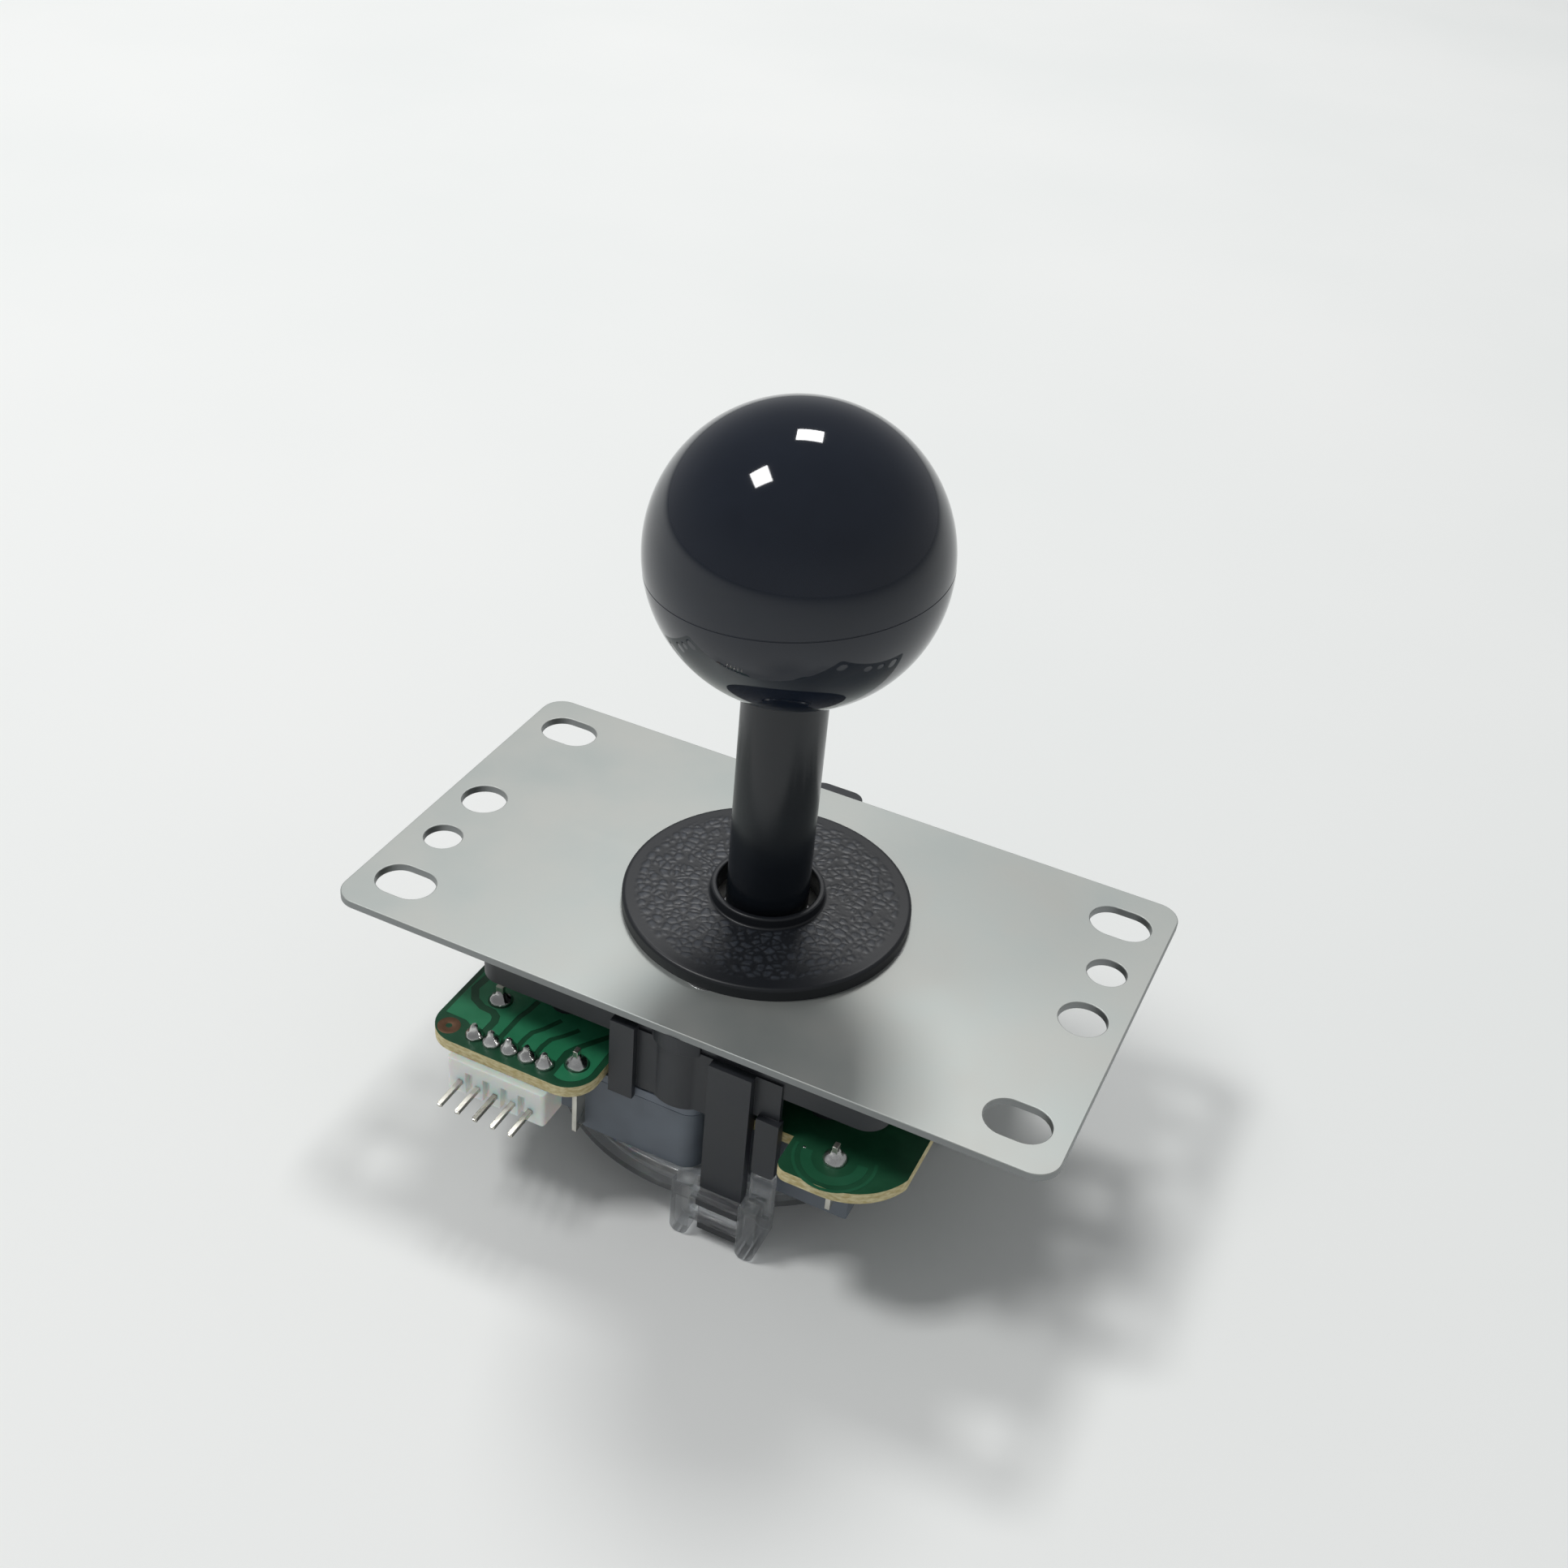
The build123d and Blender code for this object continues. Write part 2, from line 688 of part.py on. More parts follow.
def header_housing():
    half = pin_size / 2
    left, right = first_pin_x - header_margin, last_pin_x + header_margin
    shell = block(left, right, header_back_y, header_front_y, board_bottom_z, -header_bottom_depth)
    shell = fillet(vertical_edges(shell), header_edge_radius)
    for x, y in pin_places():
        shell -= block(x - half, x + half, y - half, y + half, board_bottom_z + 1, -pin_depth + half)
        shell -= block(x - half, x + half, y + half, header_front_y - 1,
                       -pin_depth + half, -pin_depth - half)
    for k in range(pin_count - 1):
        x = first_pin_x + (k + 0.5) * pin_pitch
        shell -= block(x - header_notch_width / 2, x + header_notch_width / 2,
                       header_front_y + header_notch_depth, header_front_y - 1,
                       board_bottom_z - header_notch_drop, -header_bottom_depth - 1)
    return shell


def switch_outline(top, bottom):
    body = block(switch_left, switch_right, switch_inner_y, switch_outer_y, top, bottom)
    return fillet(vertical_edges(body), switch_corner_radius)


def switch_bolt_holes():
    far = switch_right - switch_hole_inset
    return [rod(switch_hole_radius, switch_top_z + 1, switch_bottom_z - 1, far,
                switch_outer_y + switch_hole_side_inset),
            rod(switch_hole_radius, switch_top_z + 1, switch_bottom_z - 1, far - switch_hole_spacing,
                switch_inner_y - switch_hole_side_inset)]


def switch_case():
    body = switch_outline(cover_bottom_z, switch_bottom_z)
    cavity = block(switch_left + switch_wall, switch_right - switch_wall, switch_inner_y - switch_wall,
                   switch_outer_y + switch_recess_depth + switch_wall, cover_bottom_z + 1,
                   switch_bottom_z + switch_wall)
    posts = [rod(switch_hole_radius + switch_wall, cover_bottom_z, switch_bottom_z + switch_wall / 2,
                 hole.center().X, hole.center().Y) for hole in switch_bolt_holes()]
    body -= cut(cavity, posts)
    recess = block(switch_left - 1, switch_left + switch_recess_length, switch_outer_y - 1,
                   switch_outer_y + switch_recess_depth, switch_top_z + 1, switch_bottom_z - 1)
    body -= recess
    half = plunger_width / 2 + plunger_clearance
    body -= block(plunger_x - half, plunger_x + half, switch_inner_y + 1, switch_inner_y - switch_wall - 1,
                  switch_middle_z - half, switch_middle_z + half)
    ear_z = arm_width / 2 + arm_ear_gap
    for side in (-1, 1):
        ear = block(arm_hinge_x - arm_ear_half_length, arm_hinge_x + arm_ear_half_length,
                    arm_hinge_y + arm_ear_reach, switch_inner_y - arm_ear_root,
                    switch_middle_z + side * ear_z, switch_middle_z + side * (ear_z + arm_ear_thickness))
        body += ear
    pin_hole = Pos(arm_hinge_x, arm_hinge_y, switch_middle_z) * Cylinder(
        arm_pin_radius + running_clearance, 2 * (ear_z + arm_ear_thickness) + 1)
    body -= pin_hole
    body -= terminal_shapes()
    return cut(body, switch_bolt_holes())


def switch_cover():
    cover = switch_outline(switch_top_z, cover_bottom_z)
    cover -= block(switch_left - 1, switch_left + switch_recess_length, switch_outer_y - 1,
                   switch_outer_y + switch_recess_depth, switch_top_z + 1, cover_bottom_z - 1)
    return cut(cover, switch_bolt_holes())


def terminal_shapes():
    """The outer terminal stands before the recess in the case, and the end terminal beside its end."""
    half = terminal_thickness / 2
    recess_y = switch_outer_y + switch_recess_depth
    low_z = switch_bottom_z + terminal_floor
    high_z = switch_middle_z + terminal_rise
    end_low_z = switch_middle_z - terminal_drop
    blade = block(outer_terminal_x - half, outer_terminal_x + half, recess_y + terminal_inset,
                  outer_terminal_y - terminal_tail_width / 2, high_z, low_z)
    blade += tail(outer_terminal_x, outer_terminal_y, 0, -terminal_tail_top, low_z)
    end = block(switch_left + terminal_inset, end_terminal_x - terminal_tail_width / 2,
                end_terminal_y - half, end_terminal_y + half, high_z, end_low_z)
    end += tail(end_terminal_x, end_terminal_y, 90, -terminal_tail_top, end_low_z)
    return [blade, end]


def switch_plunger():
    half = plunger_width / 2
    head = block(plunger_x - half, plunger_x + half, plunger_tip_y, plunger_tip_y - plunger_stem_length,
                 switch_middle_z - half, switch_middle_z + half)
    tip = head.edges().filter_by(Axis.Z).group_by(Axis.Y)[-1]
    head = fillet(tip, plunger_tip_radius)
    step_y = switch_inner_y - switch_wall - plunger_travel_gap
    flange_half = half + plunger_flange_reach
    flange_rise = half + plunger_flange_rise
    flange = block(plunger_x - flange_half, plunger_x + flange_half,
                   step_y, step_y - plunger_flange_thickness,
                   switch_middle_z - flange_rise, switch_middle_z + flange_rise)
    return head + flange


def switch_arm():
    length = (arm_tip_x - arm_hinge_x) / cos(radians(arm_angle))
    strip = block(arm_strip_start, length, -arm_thickness / 2, arm_thickness / 2,
                  -arm_width / 2, arm_width / 2)
    pin_length = arm_width + 2 * (arm_ear_thickness + arm_ear_gap)
    arm = strip + Cylinder(arm_pin_radius + arm_roll_wall, arm_width) + Cylinder(arm_pin_radius, pin_length)
    return Pos(arm_hinge_x, arm_hinge_y, switch_middle_z) * (Rot(0, 0, arm_angle) * arm)


def gate_cover():
    cover = rod(gate_radius, gate_top_z, gate_bottom_z)
    cover += rod(gate_radius, gate_bottom_z, -gate_rim_depth) - rod(
        gate_radius - gate_rim_width, gate_bottom_z, -gate_rim_depth - 1)
    cover -= rod(gate_hole_radius, gate_top_z + 1, gate_bottom_z - 1)
    cover -= rod(gate_ledge_radius, gate_top_z + 1, gate_top_z - gate_ledge_depth)
    tongue_room = block(tongue_left - tongue_clearance, tongue_right + tongue_clearance,
                        tongue_back_y + tongue_clearance, tongue_front_y - bar_back_gap,
                        gate_top_z + 1, -floor_depth)
    cover = cut(cover, quarters(tongue_room))
    return joined(cover, quarters(gate_bracket()))


def gate_bracket():
    """Two lugs beside the housing's latch tongue, two bars across it and an upright guide."""
    parts = []
    for x, back_y in ((lug_left_x, lug_back_y), (lug_right_x, lug_right_back_y)):
        lug = block(x, x + lug_width, back_y, lug_front_y, gate_top_z, -floor_depth)
        lug = fillet(lug.edges().filter_by(Axis.Y).group_by(Axis.Z)[0], lug_round)
        parts.append(lug)
    bar_back = tongue_front_y - bar_back_gap
    bar_left, bar_right = lug_left_x + root_overlap, lug_right_x + root_overlap
    for top, bottom in ((upper_bar_top, upper_bar_bottom), (lower_bar_top, lower_bar_bottom)):
        parts.append(block(bar_left, bar_right, bar_back, bar_back - bar_thickness, -top, -bottom))
    parts.append(block(guide_left_x, guide_right_x, guide_back_y, guide_front_y,
                       -leg_depth - guide_top_clearance, gate_bottom_z))
    return joined(parts[0], parts[1:])


def gate_insert():
    ledge_z = gate_top_z - gate_ledge_depth
    bottom_z = gate_bottom_z - insert_boss_drop
    insert = rod(gate_ledge_radius - insert_fit, gate_top_z, ledge_z)
    insert += rod(gate_hole_radius - insert_fit, ledge_z, bottom_z)
    reach = pivot_z - bottom_z
    half = actuator_diameter / 2 / cos(radians(tilt_limit)) + reach * tan(radians(tilt_limit))
    half += gate_opening_clearance
    opening = extrude(RectangleRounded(2 * half, 2 * half, gate_opening_corner), 10)
    return insert - Pos(0, 0, gate_top_z - 5) * opening


parts = {
    "mounting_plate": mounting_plate(),
    "plate_screws": plate_screws(),
    "housing": housing(),
    "dust_washer": dust_washer(),
    "pivot": pivot(),
    "spring_seat": spring_seat(),
    "return_spring": return_spring(),
    "actuator": actuator(),
    "shaft": shaft(),
    "shaft_sleeve": shaft_sleeve(),
    "thrust_washer": thrust_washer(),
    "retaining_ring": retaining_ring(),
    "ball_top": ball_top(),
    "ball_insert": ball_insert(),
    "circuit_board": circuit_board(),
    "solder_joints": solder_joints(),
    "header_housing": header_housing(),
    "header_pins": header_pins(),
    "gate_cover": gate_cover(),
    "gate_insert": gate_insert(),
}
switch_parts = {
    "switch_case": switch_case(),
    "switch_cover": switch_cover(),
    "switch_plunger": switch_plunger(),
    "switch_arm": switch_arm(),
    "switch_terminals": Compound(terminal_shapes()),
}
for name, shape in switch_parts.items():
    for place, copy in zip(quarter_names, quarters(shape)):
        parts[f"{name}_{place}"] = copy

os.makedirs("parts", exist_ok=True)
for name, shape in parts.items():
    export_step(Compound(shape) if isinstance(shape, list) else shape, f"parts/{name}.step")
print(len(parts), "parts written")
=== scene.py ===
# Arcade joystick lever: materials, fine detail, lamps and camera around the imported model.
import math

import bmesh
import bpy
from mathutils import Euler, Matrix, Vector


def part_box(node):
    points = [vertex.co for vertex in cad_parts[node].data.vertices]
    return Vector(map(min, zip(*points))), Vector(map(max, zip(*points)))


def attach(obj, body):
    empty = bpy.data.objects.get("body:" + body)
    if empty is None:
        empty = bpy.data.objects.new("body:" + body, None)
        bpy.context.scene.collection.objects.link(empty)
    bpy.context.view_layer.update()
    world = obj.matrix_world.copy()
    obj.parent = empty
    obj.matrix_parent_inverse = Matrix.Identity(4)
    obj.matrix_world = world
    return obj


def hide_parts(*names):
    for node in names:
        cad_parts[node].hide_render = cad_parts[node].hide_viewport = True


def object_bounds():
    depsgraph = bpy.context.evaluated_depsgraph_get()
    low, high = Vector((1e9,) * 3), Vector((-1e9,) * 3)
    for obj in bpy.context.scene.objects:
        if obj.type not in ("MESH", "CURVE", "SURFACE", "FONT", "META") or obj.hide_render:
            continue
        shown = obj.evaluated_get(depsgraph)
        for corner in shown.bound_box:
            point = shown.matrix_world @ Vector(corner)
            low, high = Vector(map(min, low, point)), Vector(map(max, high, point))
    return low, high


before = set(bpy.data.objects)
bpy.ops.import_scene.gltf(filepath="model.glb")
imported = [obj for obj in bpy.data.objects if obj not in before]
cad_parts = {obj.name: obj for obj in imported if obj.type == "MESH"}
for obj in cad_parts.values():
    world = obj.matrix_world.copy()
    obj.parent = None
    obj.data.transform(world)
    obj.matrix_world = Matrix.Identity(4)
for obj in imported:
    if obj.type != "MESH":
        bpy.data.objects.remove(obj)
cadBox = [list(corner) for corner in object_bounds()]
print("frame loaded:", len(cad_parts), "nodes")

quarterNames = ["front", "right", "back", "left"]
millimetre = 0.001


# Small helpers

def linearColour(hexCode):
    channels = [int(hexCode[i:i + 2], 16) / 255 for i in (1, 3, 5)]
    return [c / 12.92 if c <= 0.04045 else ((c + 0.055) / 1.055) ** 2.4 for c in channels] + [1.0]


def perMetre(sizeMm):
    return 1000.0 / sizeMm  # texture scale that gives cells of this size


def addNode(tree, kind, inputs=None, **settings):
    node = tree.nodes.new(kind)
    for name, value in settings.items():
        setattr(node, name, value)
    for key, value in (inputs or {}).items():
        if isinstance(value, bpy.types.NodeSocket):
            tree.links.new(value, node.inputs[key])
        else:
            node.inputs[key].default_value = value
    return node


def startMaterial(name, colour, roughness, metallic=0.0, **sockets):
    material = bpy.data.materials.new(name)
    material.use_nodes = True
    tree = material.node_tree
    shader = tree.nodes["Principled BSDF"]
    shader.inputs["Base Color"].default_value = linearColour(colour)
    shader.inputs["Roughness"].default_value = roughness
    shader.inputs["Metallic"].default_value = metallic
    for socket, value in sockets.items():
        shader.inputs[socket.replace("_", " ")].default_value = value
    return material, tree, shader


def mottle(tree, shader, colours, sizeMm, roughnesses, stretch=(1, 1, 1)):
    # Soft patches of two close colours and two roughnesses; returns the coordinates used.
    coords = addNode(tree, "ShaderNodeTexCoord").outputs["Object"]
    placed = addNode(tree, "ShaderNodeMapping", {"Vector": coords, "Scale": stretch}).outputs["Vector"]
    patches = addNode(tree, "ShaderNodeTexNoise", {"Vector": placed, "Scale": perMetre(sizeMm),
                                                   "Detail": 4.0})
    blend = addNode(tree, "ShaderNodeMapRange", {"Value": patches.outputs["Fac"], "From Min": 0.35,
                                                 "From Max": 0.65})
    tint = addNode(tree, "ShaderNodeMix", {0: blend.outputs["Result"], 6: linearColour(colours[0]),
                                           7: linearColour(colours[1])}, data_type="RGBA")
    gloss = addNode(tree, "ShaderNodeMapRange", {"Value": blend.outputs["Result"], "To Min": roughnesses[0],
                                                 "To Max": roughnesses[1]})
    tree.links.new(tint.outputs[2], shader.inputs["Base Color"])
    tree.links.new(gloss.outputs["Result"], shader.inputs["Roughness"])
    return placed


def grain(tree, shader, coords, sizeMm, depthMm, detail=2.0):
    # Fine raised grain under the surface's shine.
    noise = addNode(tree, "ShaderNodeTexNoise", {"Vector": coords, "Scale": perMetre(sizeMm),
                                                 "Detail": detail})
    bump = addNode(tree, "ShaderNodeBump", {"Height": noise.outputs["Fac"], "Strength": 1.0,
                                            "Distance": depthMm * millimetre})
    tree.links.new(bump.outputs["Normal"], shader.inputs["Normal"])
    return bump


# Materials

def zincPlatedSteel():
    # Cold-rolled sheet, punched and zinc plated: satin grey with a faint green cast and a soft,
    # wide shine. The plating's matt crystals scatter part of the light, so it isn't all metal.
    # The sheared sides are duller and darker than the flat faces.
    material, tree, shader = startMaterial("zincPlatedSteel", "#afb2b0", 0.52, 0.82)
    coords = mottle(tree, shader, ("#abb0ad", "#b3b5b1"), 14.0, (0.48, 0.54))
    grain(tree, shader, coords, 0.5, 0.0035, 3.0)
    facing = addNode(tree, "ShaderNodeNewGeometry")
    upward = addNode(tree, "ShaderNodeSeparateXYZ", {"Vector": facing.outputs["Normal"]})
    flat = addNode(tree, "ShaderNodeMath", {0: upward.outputs["Z"]}, operation="ABSOLUTE")
    side = addNode(tree, "ShaderNodeMapRange", {"Value": flat.outputs[0], "From Min": 0.15,
                                                "From Max": 0.45, "To Min": 1.0, "To Max": 0.0})
    tint = shader.inputs["Base Color"].links[0].from_socket
    edge = addNode(tree, "ShaderNodeMix", {0: side.outputs["Result"], 6: tint, 7: linearColour("#8f9292")},
                   data_type="RGBA")
    tree.links.new(edge.outputs[2], shader.inputs["Base Color"])
    return material


def brightMetal(name, colours, roughnesses, grainMm, depthMm, stretch=(1, 1, 1)):
    material, tree, shader = startMaterial(name, colours[0], roughnesses[0], 1.0)
    coords = mottle(tree, shader, colours, grainMm * 6, roughnesses, stretch)
    grain(tree, shader, coords, grainMm, depthMm)
    return material


def turnedSteel():
    # Ground rod, turned at its ends: fine rings round the shaft catch the light in thin lines.
    material, tree, shader = startMaterial("turnedSteel", "#c4c4c2", 0.28, 1.0)
    coords = mottle(tree, shader, ("#bfbfbe", "#cacac8"), 4.0, (0.24, 0.34))
    ringPitchMm = 0.592
    ringScale = perMetre(ringPitchMm) * 2 * math.pi / 20  # at scale 1 the bands lie 2 pi / 20 apart
    rings = addNode(tree, "ShaderNodeTexWave", {"Vector": coords, "Scale": ringScale, "Distortion": 0.4},
                    bands_direction="Z")
    bump = addNode(tree, "ShaderNodeBump", {"Height": rings.outputs["Fac"], "Strength": 0.5,
                                            "Distance": 0.004 * millimetre})
    tree.links.new(bump.outputs["Normal"], shader.inputs["Normal"])
    return material


def mouldedPlastic(name, colours, roughnesses, grainMm, depthMm, **sockets):
    material, tree, shader = startMaterial(name, colours[0], roughnesses[0], IOR=1.5, **sockets)
    coords = mottle(tree, shader, colours, 5.0, roughnesses)
    grain(tree, shader, coords, grainMm, depthMm)
    return material


def pebbledPlastic():
    # Soft black plastic pressed in a leather-grained mould: the pebbles' tops are smoother than the valleys
    # and painted greyer by height, a painted highlight on the tops over painted shade in the valleys. The
    # piece carries its pebble height as an attribute.
    material, tree, shader = startMaterial("pebbledPlastic", "#15181d", 0.5, IOR=1.5)
    coords = addNode(tree, "ShaderNodeTexCoord").outputs["Object"]
    height = addNode(tree, "ShaderNodeAttribute", attribute_name="pebble").outputs["Fac"]
    speck = addNode(tree, "ShaderNodeTexNoise", {"Vector": coords, "Scale": perMetre(0.55), "Detail": 3.0})
    # Pebble height times a speck: drives the painted highlight on the tops and their smoother gloss.
    topHighlightAndGloss = addNode(tree, "ShaderNodeMath", {0: height, 1: speck.outputs["Fac"]}, operation="MULTIPLY")
    share = addNode(tree, "ShaderNodeMapRange", {"Value": topHighlightAndGloss.outputs[0], "From Min": 0.05,
                                                 "From Max": 0.6})
    # Painted highlight and painted shade: tops painted greyer than the valleys by their height.
    tint = addNode(tree, "ShaderNodeMix", {0: share.outputs["Result"], 6: linearColour("#15181d"),
                                           7: linearColour("#333840")}, data_type="RGBA")
    gloss = addNode(tree, "ShaderNodeMapRange", {"Value": topHighlightAndGloss.outputs[0], "From Max": 0.6, "To Min": 0.40,
                                                 "To Max": 0.52})
    tree.links.new(tint.outputs[2], shader.inputs["Base Color"])
    tree.links.new(gloss.outputs["Result"], shader.inputs["Roughness"])
    grain(tree, shader, coords, 0.22, 0.006)
    return material


def glassLaminate():
    # Sawn edge of glass-epoxy board: straw-coloured, dry, with pale fibres and darker pits.
    material, tree, shader = startMaterial("glassLaminate", "#cbbd8c", 0.75, IOR=1.5)
    coords = mottle(tree, shader, ("#b8a873", "#dcd2a8"), 0.9, (0.65, 0.85), (1, 1, 2.5))
    grain(tree, shader, coords, 0.3, 0.05, 4.0)
    return material


def clearPolycarbonate():
    # Injection-moulded clear polycarbonate, slightly smoky, with soft flow marks.
    material, tree, shader = startMaterial("clearPolycarbonate", "#d3d8de", 0.08, IOR=1.585,
                                           Transmission_Weight=1.0, Alpha=0.6)
    coords = addNode(tree, "ShaderNodeTexCoord").outputs["Object"]
    grain(tree, shader, coords, 2.5, 0.02)
    return material


plateZinc = zincPlatedSteel()
# Bright zinc on screws and washers; dull tin on pins, drawn lengthwise; bright solder with a
# slightly crinkled skin; spring wire and strip rolled bright; brass turned from bar.
screwZinc = brightMetal("brightZincScrew", ("#c4c6c6", "#d2d3d2"), (0.24, 0.34), 0.6, 0.004)
tinPlate = brightMetal("tinPlatedBrass", ("#b9b7ae", "#dedcd3"), (0.20, 0.42), 0.35, 0.010, (1, 0.35, 0.5))
solderSkin = brightMetal("brightSolder", ("#b4b4b2", "#dbdbd9"), (0.14, 0.30), 0.6, 0.02)
springWire = brightMetal("drawnSpringWire", ("#a9a9a8", "#bdbdbb"), (0.22, 0.32), 0.4, 0.003)
stripSteel = brightMetal("rolledSpringStrip", ("#b7b7b5", "#c6c6c3"), (0.24, 0.36), 0.5, 0.003)
turnedBrass = brightMetal("turnedBrass", ("#c9a860", "#d6b978"), (0.24, 0.34), 0.5, 0.004)
bareCopper = brightMetal("bareCopper", ("#7d5f4c", "#94735e"), (0.42, 0.56), 0.5, 0.006)
rodSteel = turnedSteel()
# Polished ball: the mould's gloss, almost black with a blue cast and a very faint orange peel.
ballGloss = mouldedPlastic("polishedBlackPlastic", ("#131a26", "#161d29"), (0.045, 0.06), 3.0, 0.0012)
# Extruded tube with a fine, slightly hazed gloss.
tubeGloss = mouldedPlastic("extrudedBlackTube", ("#181c22", "#1b2026"), (0.20, 0.26), 0.8, 0.002)
washerPlastic = pebbledPlastic()
# Glass-filled nylon: satin black-grey from a spark-eroded mould.
housingNylon = mouldedPlastic("blackNylon", ("#24272b", "#292c31"), (0.40, 0.50), 0.25, 0.006)
acetalWhite = mouldedPlastic("whiteAcetal", ("#e4e3dd", "#ebeae5"), (0.30, 0.38), 0.6, 0.002)
acetalBlack = mouldedPlastic("blackAcetal", ("#1b1d20", "#202225"), (0.28, 0.36), 0.6, 0.002)
switchGrey = mouldedPlastic("slateSwitchPlastic", ("#5d646d", "#646c75"), (0.42, 0.50), 0.25, 0.004)
coverGrey = mouldedPlastic("slateCoverPlastic", ("#666d77", "#6d757f"), (0.42, 0.50), 0.25, 0.004)
plungerBlack = mouldedPlastic("plungerPlastic", ("#17181b", "#1c1d21"), (0.34, 0.42), 0.3, 0.003)
# Natural nylon header: milky and slightly see-through, so its edges glow.
headerNylon = mouldedPlastic("naturalNylon", ("#f2f2ec", "#f8f8f4"), (0.38, 0.46), 0.8, 0.006,
                             Subsurface_Weight=0.8, Subsurface_Scale=0.003, Transmission_Weight=0.1)
# Green solder mask: deep over bare laminate, lighter and slightly wavy over copper.
maskBare = mouldedPlastic("solderMaskOnLaminate", ("#1a4c33", "#20573b"), (0.34, 0.42), 1.2, 0.002)
maskCopper = mouldedPlastic("solderMaskOnCopper", ("#2b8159", "#358f66"), (0.32, 0.42), 1.6, 0.003)
maskTrack = mouldedPlastic("solderMaskOnTracks", ("#205c3e", "#256446"), (0.34, 0.42), 1.2, 0.002)
laminate = glassLaminate()
clearPlastic = clearPolycarbonate()
print("materials made:", len(bpy.data.materials))


# Mesh helpers

def linkedObject(name, mesh):
    piece = bpy.data.objects.new(name, mesh)
    bpy.context.scene.collection.objects.link(piece)
    return piece


def meshFromBmesh(name, shape, materials, smoothAngle=35):
    mesh = bpy.data.meshes.new(name)
    shape.to_mesh(mesh)
    shape.free()
    for material in materials:
        mesh.materials.append(material)
    mesh.shade_smooth()
    mesh.set_sharp_from_angle(angle=math.radians(smoothAngle))
    return mesh


def finishPiece(piece, body, slot, *nodes):
    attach(piece, body)
    if nodes:
        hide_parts(*nodes)
    return piece


def mergedCopy(nodeName):
    # A copy of a node's mesh with its loose triangles joined and its flat faces made whole.
    shape = bmesh.new()
    shape.from_mesh(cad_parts[nodeName].data)
    bmesh.ops.remove_doubles(shape, verts=shape.verts, dist=0.002 * millimetre)
    bmesh.ops.dissolve_limit(shape, angle_limit=math.radians(0.4), verts=shape.verts, edges=shape.edges)
    for layer in list(shape.loops.layers.float_vector):
        shape.loops.layers.float_vector.remove(layer)
    return shape


def flatFaces(piece):
    weighted = piece.modifiers.new("flatFaces", "WEIGHTED_NORMAL")  # large faces stay flat beside rounds
    weighted.keep_sharp = True
    weighted.weight = 100


def dressedCopy(nodeName, name, body, slot, materials, bevelMm=0.15, segments=2, bevelAngle=50):
    # The node's own form with joined faces and small rounded edges.
    mesh = meshFromBmesh(name, mergedCopy(nodeName), materials)
    piece = linkedObject(name, mesh)
    if bevelMm:
        bevel = piece.modifiers.new("edges", "BEVEL")
        bevel.width = bevelMm * millimetre
        bevel.segments = segments
        bevel.limit_method = "ANGLE"
        bevel.angle_limit = math.radians(bevelAngle)
    flatFaces(piece)
    return finishPiece(piece, body, slot, nodeName)


def turnedSize(nodeName):
    # Outer radius, lowest and highest level of a round node, in millimetres.
    low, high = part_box(nodeName)
    return (high.x - low.x) / 2 / millimetre, low.z / millimetre, high.z / millimetre


def latheMesh(name, profile, material, steps, closed=True, at=(0, 0)):
    # Turns (radius, height) points in millimetres about an upright line through one place.
    shape = bmesh.new()
    rings = []
    for radius, height in profile:
        turns = [2 * math.pi * k / steps for k in range(steps)] if radius > 0 else [0.0]
        rings.append([shape.verts.new(((at[0] + radius * math.cos(turn)) * millimetre,
                                       (at[1] + radius * math.sin(turn)) * millimetre,
                                       height * millimetre)) for turn in turns])
    pairs = list(zip(rings, rings[1:]))
    if closed:
        pairs.append((rings[-1], rings[0]))
    for lower, upper in pairs:
        for k in range(steps):
            a, b = lower[k % len(lower)], lower[(k + 1) % len(lower)]
            c, d = upper[(k + 1) % len(upper)], upper[k % len(upper)]
            corners = list(dict.fromkeys((a, b, c, d)))
            if len(corners) > 2:
                shape.faces.new(corners)
    bmesh.ops.recalc_face_normals(shape, faces=shape.faces)
    return meshFromBmesh(name, shape, [material])


def arcPoints(centreX, centreY, radius, startDeg, endDeg, count):
    angles = [math.radians(startDeg + (endDeg - startDeg) * k / (count - 1)) for k in range(count)]
    return [(centreX + radius * math.cos(angle), centreY + radius * math.sin(angle)) for angle in angles]


def newGeometryTree(name, sockets):
    tree = bpy.data.node_groups.new(name, "GeometryNodeTree")
    tree.interface.new_socket("Geometry", in_out="INPUT", socket_type="NodeSocketGeometry")
    for label, kind, value in sockets:
        socket = tree.interface.new_socket(label, in_out="INPUT", socket_type=kind)
        if value is not None:
            socket.default_value = value
    tree.interface.new_socket("Geometry", in_out="OUTPUT", socket_type="NodeSocketGeometry")
    return tree, addNode(tree, "NodeGroupInput").outputs


def endTree(tree, geometry, material):
    whole = addNode(tree, "GeometryNodeRealizeInstances", {"Geometry": geometry})
    painted = addNode(tree, "GeometryNodeSetMaterial", {"Geometry": whole.outputs[0], "Material": material})
    addNode(tree, "NodeGroupOutput", {"Geometry": painted.outputs[0]})


def grownPiece(name, tree, hostMesh, values, smoothAngle=40):
    # Runs the tree on the host mesh and keeps the result as a plain mesh.
    host = bpy.data.objects.new(name + "Host", hostMesh)
    modifier = host.modifiers.new("grow", "NODES")
    modifier.node_group = tree
    for item in tree.interface.items_tree:
        if item.in_out == "INPUT" and item.name in values:
            modifier[item.identifier] = values[item.name]
    bpy.context.scene.collection.objects.link(host)
    bpy.context.view_layer.update()
    grown = host.evaluated_get(bpy.context.evaluated_depsgraph_get())
    mesh = bpy.data.meshes.new_from_object(grown)
    bpy.data.objects.remove(host)
    mesh.shade_smooth()
    mesh.set_sharp_from_angle(angle=math.radians(smoothAngle))
    return linkedObject(name, mesh)


